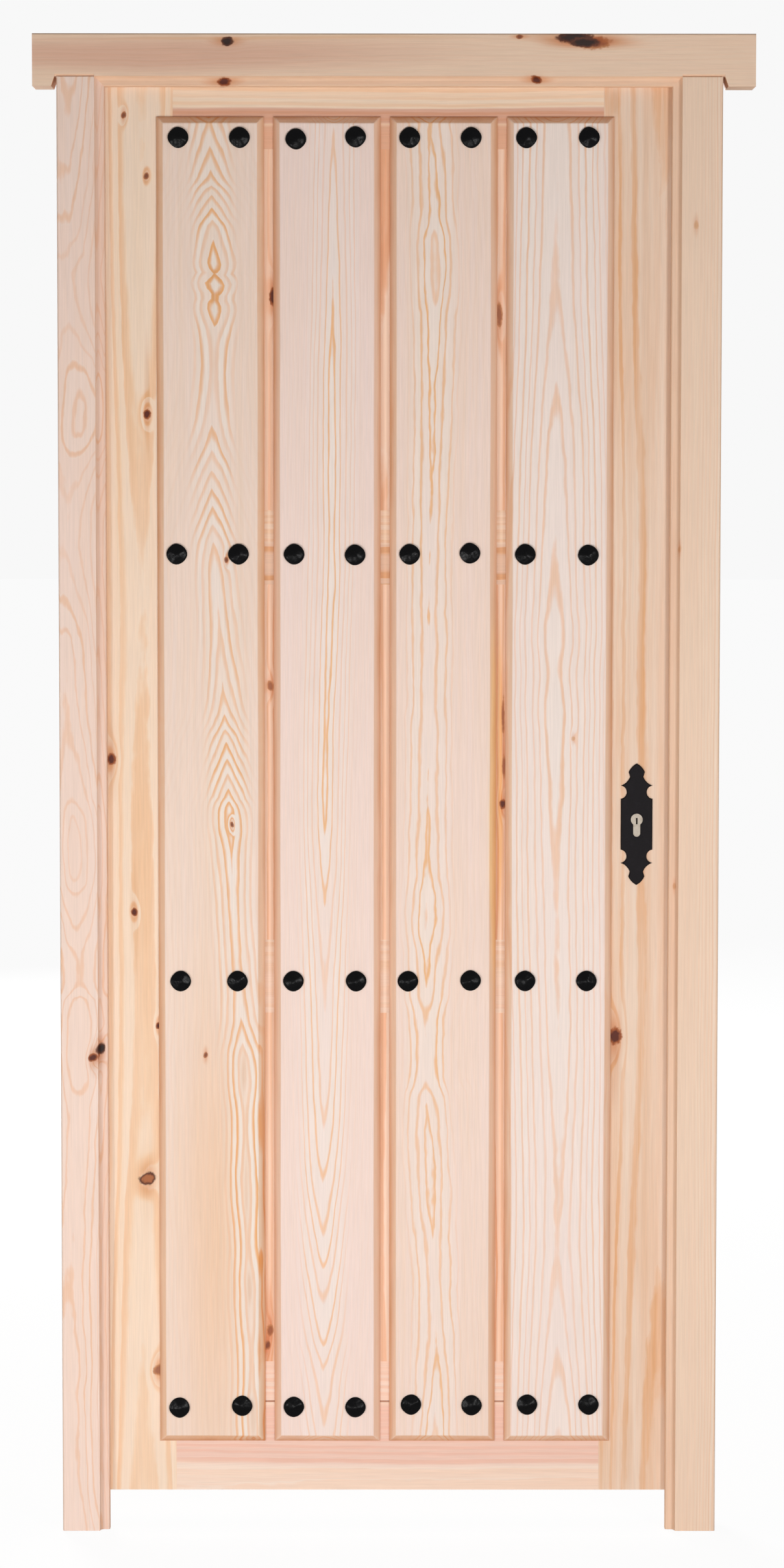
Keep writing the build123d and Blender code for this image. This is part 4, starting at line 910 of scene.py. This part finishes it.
@dataclass
class LeafFrame:
    """The stiles and rails of the leaf and the infill boards between them.

    Attributes:
        face: Depth of their faces.
        boards: Infill boards in each bay.
        bays: Names of the bays.
        board_lines: Where the infill boards' joints stand across the leaf.
    """

    face: float = 24.5
    boards: int = 5
    bays: tuple[str, ...] = ("lower", "middle", "upper")
    board_lines: tuple[float, ...] = (-306.0, -183.6, -61.2, 61.2, 183.6, 306.0)

    def build(self) -> None:
        """Dress the stiles, the rails and the infill boards."""
        for node, finish in (self.stiles() | self.rails()).items():
            dress(node, finish.material())
        log.info("stiles and rails")
        for bay in self.bays:
            for board in range(1, self.boards + 1):
                dress(f"{bay}_board_{board}", self.infill(bay, board).material())
        log.info("%d infill boards", self.boards * len(self.bays))

    def stiles(self) -> dict[str, Pine]:
        """Describe the yellow-tan stiles with their knots.

        Returns:
            Each node's pine.
        """
        plain = replace(PALE, face=self.face, early="#f6d8bc", late="#eec594", heart="#f2c99e", spacing=9.0,
                        contrast=0.4, waviness=0.5, warmth=0.45, soak_and_shade=0.35)
        return {
            "hinge_stile": replace(
                plain, name="pine hinge stile", seed=7.7, pith=((0, -352),),
                rings=((55, 5), (1000, 6.5), (2085, 5.5)),
                knots=(Knot(-376, 2034, 8, 9, KnotLook.PIN), Knot(-344, 1947, 8, 9, KnotLook.PIN),
                       Knot(-343, 1612, 11, 13, KnotLook.DARK, 1.6), Knot(-397, 1120, 15, 17, KnotLook.DARK, 1.2),
                       Knot(-365, 897, 9, 11, KnotLook.DARK, 1.2), Knot(-331, 733, 8, 10, KnotLook.DARK),
                       Knot(-347, 511, 25, 17, KnotLook.RINGED, 0.7), Knot(-332, 233, 14, 16, KnotLook.TIGHT, 1.5)),
                # the first strip is painted shade beside the hinge jamb, along the stile's outer edge
                stains_and_shades=(StainOrShade(-411, 1070, 7, 1500, "#bd8558", 0.6, 1.0), StainOrShade(-343, 1640, 6, 110, "#dd9f62", 0.5),
                        StainOrShade(-365, 890, 8, 120, "#e0ac78", 0.35), StainOrShade(-397, 1120, 14, 90, "#e0b184", 0.35),
                        StainOrShade(-347, 505, 20, 90, "#e2b587", 0.35))),
            "lock_stile": replace(
                plain, name="pine lock stile", seed=9.1, early="#eccbb0", heart="#e4ae80", spacing=14.0, onset=0.6,
                contrast=0.22, warmth=1.0, pith=((0, 395),), rings=((55, 4), (900, 5), (2085, 4.2)),
                knots=(Knot(327, 717, 20, 26, KnotLook.DARK),),
                # the first strip is painted shadow that the lock jamb casts on the stile's edge
                stains_and_shades=(StainOrShade(408, 1070, 9, 1500, "#a5663a", 0.8, 0.9, ruled=True),
                        StainOrShade(365, 1700, 9, 520, "#d9a06c", 0.35), StainOrShade(372, 500, 8, 480, "#dda26a", 0.35),
                        StainOrShade(324, 680, 13, 90, "#d08f58", 0.55), StainOrShade(322, 2050, 9, 26, "#d9995f", 0.55),
                        StainOrShade(350, 130, 12, 110, "#dba36f", 0.4))),
        }

    def rails(self) -> dict[str, Pine]:
        """Describe the rails, whose grain runs level.

        Returns:
            Each node's pine.
        """
        plain = replace(PALE, grain=Grain.LEVEL, face=self.face, early="#f6d9bd", late="#efc592", heart="#f0c8a2",
                        spacing=9.0, contrast=0.14, waviness=0.5, warmth=0.6, soak_and_shade=0.35)
        # painted shade along the planks' feet, where they stand on the rail
        plank_foot_shade = tuple(StainOrShade(1080, foot, 955, 4.5, "#c68a60", 0.6, 1.0, ruled=True) for foot in self.plank_feet())
        joint = StainOrShade(185, 0, 2.2, 2000, "#a8694a", 0.9, 0.8, ruled=True)
        return {
            "top_rail": replace(
                plain, name="pine top rail", seed=11.2, contrast=0.3, pith=((0, 2120),), rings=((0, 5),),
                stains_and_shades=(StainOrShade(2034, 0, 13, 2000, "#d99a7c", 0.85, 0.3), StainOrShade(1990, 0, 36, 2000, "#e2a482", 0.8, 0.3),
                        *plank_foot_shade)),
            "upper_mid_rail": replace(
                plain, name="pine upper mid rail", seed=12.4, early="#f2cfb4", pith=((0, 1400),), rings=((0, 4),),
                stains_and_shades=(StainOrShade(1396, 0, 36, 2000, "#dd9c6a", 0.75, 0.3), *plank_foot_shade)),
            "lower_mid_rail": replace(
                plain, name="pine lower mid rail", seed=13.5, early="#f4d2bc", pith=((0, 800),),
                rings=((0, 6),), stains_and_shades=plank_foot_shade),
            "bottom_strip": replace(
                plain, name="pine strip", seed=14.8, early="#f4cfba", heart="#eec2a8", contrast=0.05, pith=((0, 150),),
                rings=((0, 4),), stains_and_shades=(joint, *plank_foot_shade)),
            "bottom_rail": replace(
                plain, name="pine bottom rail", seed=15.3, early="#f6d9c4", heart="#f0c9b0", contrast=0.06,
                pith=((0, 60),), rings=((0, 3.5),),
                stains_and_shades=(StainOrShade(135, 60, 51, 900, "#edbdaa", 0.85, 0.25), joint, *plank_foot_shade)),
        }

    def plank_feet(self) -> list[float]:
        """Read off where the planks' edges stand, in mm across."""
        boxes = [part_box(f"plank_{number}") for number in range(1, 5)]
        return [side / MM for low, high in boxes for side in (low.x, high.x)]

    def infill(self, bay: str, board: int) -> Pine:
        """Describe one infill board: orange heartwood, each a little different.

        Args:
            bay: Which bay it stands in.
            board: 1 to 5 from the hinges.

        Returns:
            Its finish.
        """
        left, right = self.board_lines[board - 1:board + 1]
        seed = 20.0 + 3.7 * board + 11.3 * self.bays.index(bay)
        luck = np.random.default_rng(int(seed * 10))
        middle = (left + right) / 2
        knots = {
            ("upper", 2): (Knot(-165, 1780, 10, 26, KnotLook.DARK, 1.5),),
            ("upper", 4): (Knot(157, 1757, 9, 36),),
            ("middle", 2): (Knot(-167, 1225, 9, 14), Knot(-171, 1397, 8, 12, KnotLook.PIN)),
            ("middle", 4): (Knot(165, 1178, 4, 56, KnotLook.TIGHT, 0.3), Knot(166, 1104, 5, 34, KnotLook.TIGHT, 0.4),
                            Knot(164, 1050, 9, 14, KnotLook.DARK, 1.2)),
            ("lower", 2): (Knot(-170, 292, 9, 16), Knot(-174, 270, 8, 14, KnotLook.PIN, 0.8)),
        }.get((bay, board), ())
        stains_and_shades = {
            ("middle", 4): (StainOrShade(160, 1090, 5, 270, "#f0ac5c", 0.8, 0.5),),
            ("lower", 2): (StainOrShade(-172, 290, 9, 90, "#dc8a54", 0.6, 0.6),),
        }.get((bay, board), ())
        # painted shade along the planks' feet
        stains_and_shades += tuple(StainOrShade(foot, 1070, 4.5, 1400, "#c68a60", 0.55, 1.0, ruled=True)
                        for foot in self.plank_feet() if left - 3 < foot < right + 3)
        return replace(PALE, name=f"pine infill board, {bay} {board}", seed=seed, face=self.face, early="#f9d3b8",
                       late="#eab98a", heart="#f0b48c", spacing=7.0, contrast=0.5, warmth=0.85, waviness=0.5,
                       soak_and_shade=0.45, pith=((0, middle + luck.uniform(-30, 30)),), rings=((0, luck.uniform(3, 8)),),
                       knots=knots, stains_and_shades=stains_and_shades)


@dataclass
class DoorFrame:
    """The jambs and the header that are fixed in the wall."""

    def build(self) -> None:
        """Dress the jambs and the header."""
        for node, finish in self.timbers().items():
            dress(node, finish.material())
        log.info("jambs and header")

    def timbers(self) -> dict[str, Pine]:
        """Describe the grain of the three timbers.

        Returns:
            Each node's pine.
        """
        plain = replace(PALE, face=0.0, early="#f5dccd", late="#f4cc90", heart="#f0c9ae", spacing=7.0, soak_and_shade=0.3)
        return {
            "hinge_jamb": replace(
                plain, name="pine hinge jamb", seed=31.0, early="#f4d7c8", waviness=1.0, onset=0.66, contrast=0.5,
                bleached=0.2,
                pith=((0, -455), (270, -460), (700, -440), (988, -446), (1450, -464), (1620, -440), (1800, -463),
                      (2088, -450)),
                rings=((0, 3), (199, 4), (235, 3.7), (275, 4), (400, 4.4), (600, 4.6), (700, 3.4), (773, 4), (800, 5.1),
                       (830, 5), (860, 4.5), (923, 3), (988, 1.6), (1063, 3), (1150, 4), (1276, 4.6), (1300, 5),
                       (1340, 6), (1401, 7), (1450, 7.3), (1516, 7), (1560, 6), (1608, 5), (1640, 5.2), (1680, 6),
                       (1718, 7), (1780, 7.6), (1837, 7), (1880, 6), (1946, 5), (2088, 4)),
                knots=(Knot(-412, 702, 12, 16, KnotLook.BARK, 1.6), Knot(-421, 692, 13, 12, KnotLook.DARK, 1.2)),
                stains_and_shades=(StainOrShade(-417, 690, 14, 40, "#c98f62", 0.3),)),
            "lock_jamb": replace(
                plain, name="pine lock jamb", seed=33.0, early="#f0d2b9", late="#f2cda0", spacing=4.5, contrast=0.5,
                waviness=0.3, pith=((0, 540),), rings=((0, 6),),
                knots=(Knot(435, 1875, 7, 12, KnotLook.FAINT, 0.8), Knot(417, 1417, 5, 10, KnotLook.FAINT, 0.5),
                       Knot(412, 933, 5, 9, KnotLook.FAINT, 0.5))),
            "header": replace(
                plain, name="pine header", seed=35.0, grain=Grain.LEVEL, early="#f0d2b8", late="#e6b070", spacing=7.0,
                contrast=1.0, waviness=0.8, reach=400.0, pith=((-520, 2030), (520, 2040)),
                rings=((-520, 3), (0, 2.4), (520, 4)),
                knots=(Knot(2136, -228, 14, 17, KnotLook.BARK, 1.6), Knot(2081, -231, 12, 20, KnotLook.DARK, 1.6),
                       Knot(2135, 288, 17, 46, KnotLook.TIGHT, 1.2), Knot(2142, 262, 13, 52, KnotLook.BARK),
                       Knot(2136, 276, 13, 40, KnotLook.BARK, 0.6), Knot(2084, 206, 10, 15, KnotLook.DARK, 1.4),
                       Knot(2143, 184, 5, 10, KnotLook.PIN, 0.8)),
                stains_and_shades=(StainOrShade(2118, -330, 34, 560, "#d8a48c", 0.65, 0.8),
                        StainOrShade(2140, -150, 4, 420, "#e2b184", 0.5, 0.8))),
        }


@dataclass
class Ironwork:
    """The escutcheon plates, the cylinder, the lock, the hinges and all screws."""

    iron: Material

    def build(self) -> None:
        """Dress every metal piece."""
        nickel = TurnedMetal("brushed nickel", "#8c8378", 0.34, (0.3, 0.3, 2.5)).material()
        zinc = TurnedMetal("zinc-plated steel", "#b4b4b2", 0.4, (1.5, 1.5, 0.25)).material()
        black = replace(BlackIron(), name="black lacquered iron", dent=7.0, roughness=0.5, sheen=0.4).material()
        plate = replace(BlackIron(), name="forged black iron plate", skin="#0f0b0e", worn="#1a161a", roughness=0.6,
                        sheen=0.12).material()
        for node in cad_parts:
            if node.endswith("escutcheon"):
                dress(node, plate)
            elif node.startswith("cylinder_") and node != "cylinder_screw" or node.endswith("_plug"):
                dress(node, nickel)
            elif "_hinge_" in node:
                dress(node, black)
            elif "screw" in node or node.startswith("lock_c") or node in ("lock_forend", "strike_plate", "deadbolt"):
                dress(node, zinc)
        log.info("plates, cylinder, lock, hinges and screws")


@dataclass(frozen=True)
class Softbox:
    """A lamp with a lit rectangle.

    Attributes:
        name: Lamp's name.
        size: Width and height in metres.
        watts: Its power.
        place: Its middle in metres.
        turn: Its turn in degrees.
    """

    name: str
    size: tuple[float, float]
    watts: float
    place: tuple[float, float, float]
    turn: tuple[float, float, float]

    def hang(self) -> None:
        """Put the lamp in the scene."""
        data = bpy.data.lights.new(self.name, "AREA")
        data.shape, data.energy = "RECTANGLE", self.watts
        data.size, data.size_y = self.size
        lamp = bpy.data.objects.new(self.name, data)
        lamp.location = self.place
        lamp.rotation_euler = [math.radians(angle) for angle in self.turn]
        bpy.context.scene.collection.objects.link(lamp)


@dataclass
class Studio:
    """Pale floor, pale room, soft light and the camera.

    Attributes:
        camera_at: Camera's place in metres.
        look_down, look_left, roll: Its turn in degrees.
        focal: Focal length for a 36 mm long side.
        paper: Colour of the floor and of the room behind.
        floor_reach: How far the floor runs each way, in metres.
        fill: Strength of the pale room's own light.
        lamps: Low softboxes in front, one to the right, and one behind.
    """

    camera_at: tuple[float, float, float] = (-0.0059, -6.5, 1.5764)
    look_down: float = 4.327
    look_left: float = -0.1
    roll: float = -0.041
    focal: float = 104.65
    paper: str = "#f8f8f8"
    floor_reach: float = 45.0
    fill: float = 0.19
    lamps: tuple[Softbox, ...] = (Softbox("low softbox", (1.2, 0.4), 30.5, (-0.25, -2.9, 0.12), (98, 0, -4)),
                                  Softbox("right softbox", (0.8, 1.1), 62, (2.1, -3.9, 1.0), (94, 0, 28)),
                                  Softbox("left softbox", (0.5, 0.4), 21.5, (-1.8, -2.3, 0.15), (97, 0, -38)),
                                  Softbox("rear softbox", (2.0, 2.0), 330, (-2.2, 6.2, 2.6), (80, 0, 200)))

    def build(self) -> None:
        """Set up the floor, the lamps, the room and the camera."""
        self.paper_stage()
        for lamp in self.lamps:
            lamp.hang()
        self.room()
        self.camera()
        bpy.context.scene.view_settings.view_transform = "Standard"
        log.info("studio")

    def paper_stage(self) -> None:
        """Lay the floor of matt paper, in one flat sheet just under the door."""
        made = bpy.data.materials.new("matt white paper")
        nodes = Nodes(made)
        plain = nodes.add("BsdfDiffuse", {"Color": linear("#cfcdca")})
        # what is looked at glows a little, so that it is white all over and yet takes the door's shadow
        seen = nodes.add("BsdfDiffuse", {"Color": linear("#525252")})
        glow = nodes.add("Emission", {"Color": linear(self.paper), "Strength": 1.0})
        seen = nodes.add("AddShader", {0: seen, 1: glow})
        mixed = nodes.add("MixShader", {0: self.looked_at(nodes), 1: plain, 2: seen})
        nodes.feed("Material Output", {"Surface": mixed})
        nodes.tree.nodes.remove(nodes.tree.nodes["Principled BSDF"])
        lines = np.array([-self.floor_reach, 0.0, self.floor_reach])
        across, away = np.meshgrid(lines, lines)
        mesh = grid_mesh("paper", np.stack([across, away, np.full_like(across, -MM)], axis=-1))
        paper = bpy.data.objects.new("paper", mesh)
        bpy.context.scene.collection.objects.link(paper)
        mesh.materials.append(made)

    def looked_at(self, nodes: Nodes) -> Socket:
        """Tell the rays that see the room: the camera's and those in reflections and through glass.

        Args:
            nodes: The nodes that ask.

        Returns:
            1 for such a ray, and 0 for all others.
        """
        ray = nodes.add("LightPath", out="Is Camera Ray")
        both = nodes.calc("MAXIMUM", ray, ray.node.outputs["Is Glossy Ray"])
        return nodes.calc("MAXIMUM", both, ray.node.outputs["Is Transmission Ray"])

    def room(self) -> None:
        """Fill the room with pale light, dimmer than it looks."""
        world = bpy.data.worlds.new("room")
        nodes = Nodes(world)
        nodes.feed("Background", {"Color": linear("#ffffff"), "Strength": self.fill})
        bright = nodes.add("Background", {"Color": linear(self.paper), "Strength": 1.0})
        dim = nodes.tree.nodes["Background"].outputs[0]
        mixed = nodes.add("MixShader", {0: self.looked_at(nodes), 1: dim, 2: bright})
        nodes.feed("World Output", {"Surface": mixed})
        bpy.context.scene.world = world

    def camera(self) -> None:
        """Place the camera."""
        data = bpy.data.cameras.new("camera")
        data.lens = self.focal
        data.sensor_width = 36
        data.sensor_fit = "AUTO"
        camera = bpy.data.objects.new("camera", data)
        camera.location = self.camera_at
        camera.rotation_euler = Euler((math.radians(90 - self.look_down), math.radians(self.roll),
                                       math.radians(self.look_left)))
        bpy.context.scene.collection.objects.link(camera)
        bpy.context.scene.camera = camera


def main() -> None:
    """Build the whole door and its studio in order."""
    iron = BlackIron().material()
    OuterPlanks(iron).build()
    LeafFrame().build()
    DoorFrame().build()
    Ironwork(iron).build()
    Studio().build()
    bpy.context.view_layer.update()


if __name__ == "__main__":
    main()
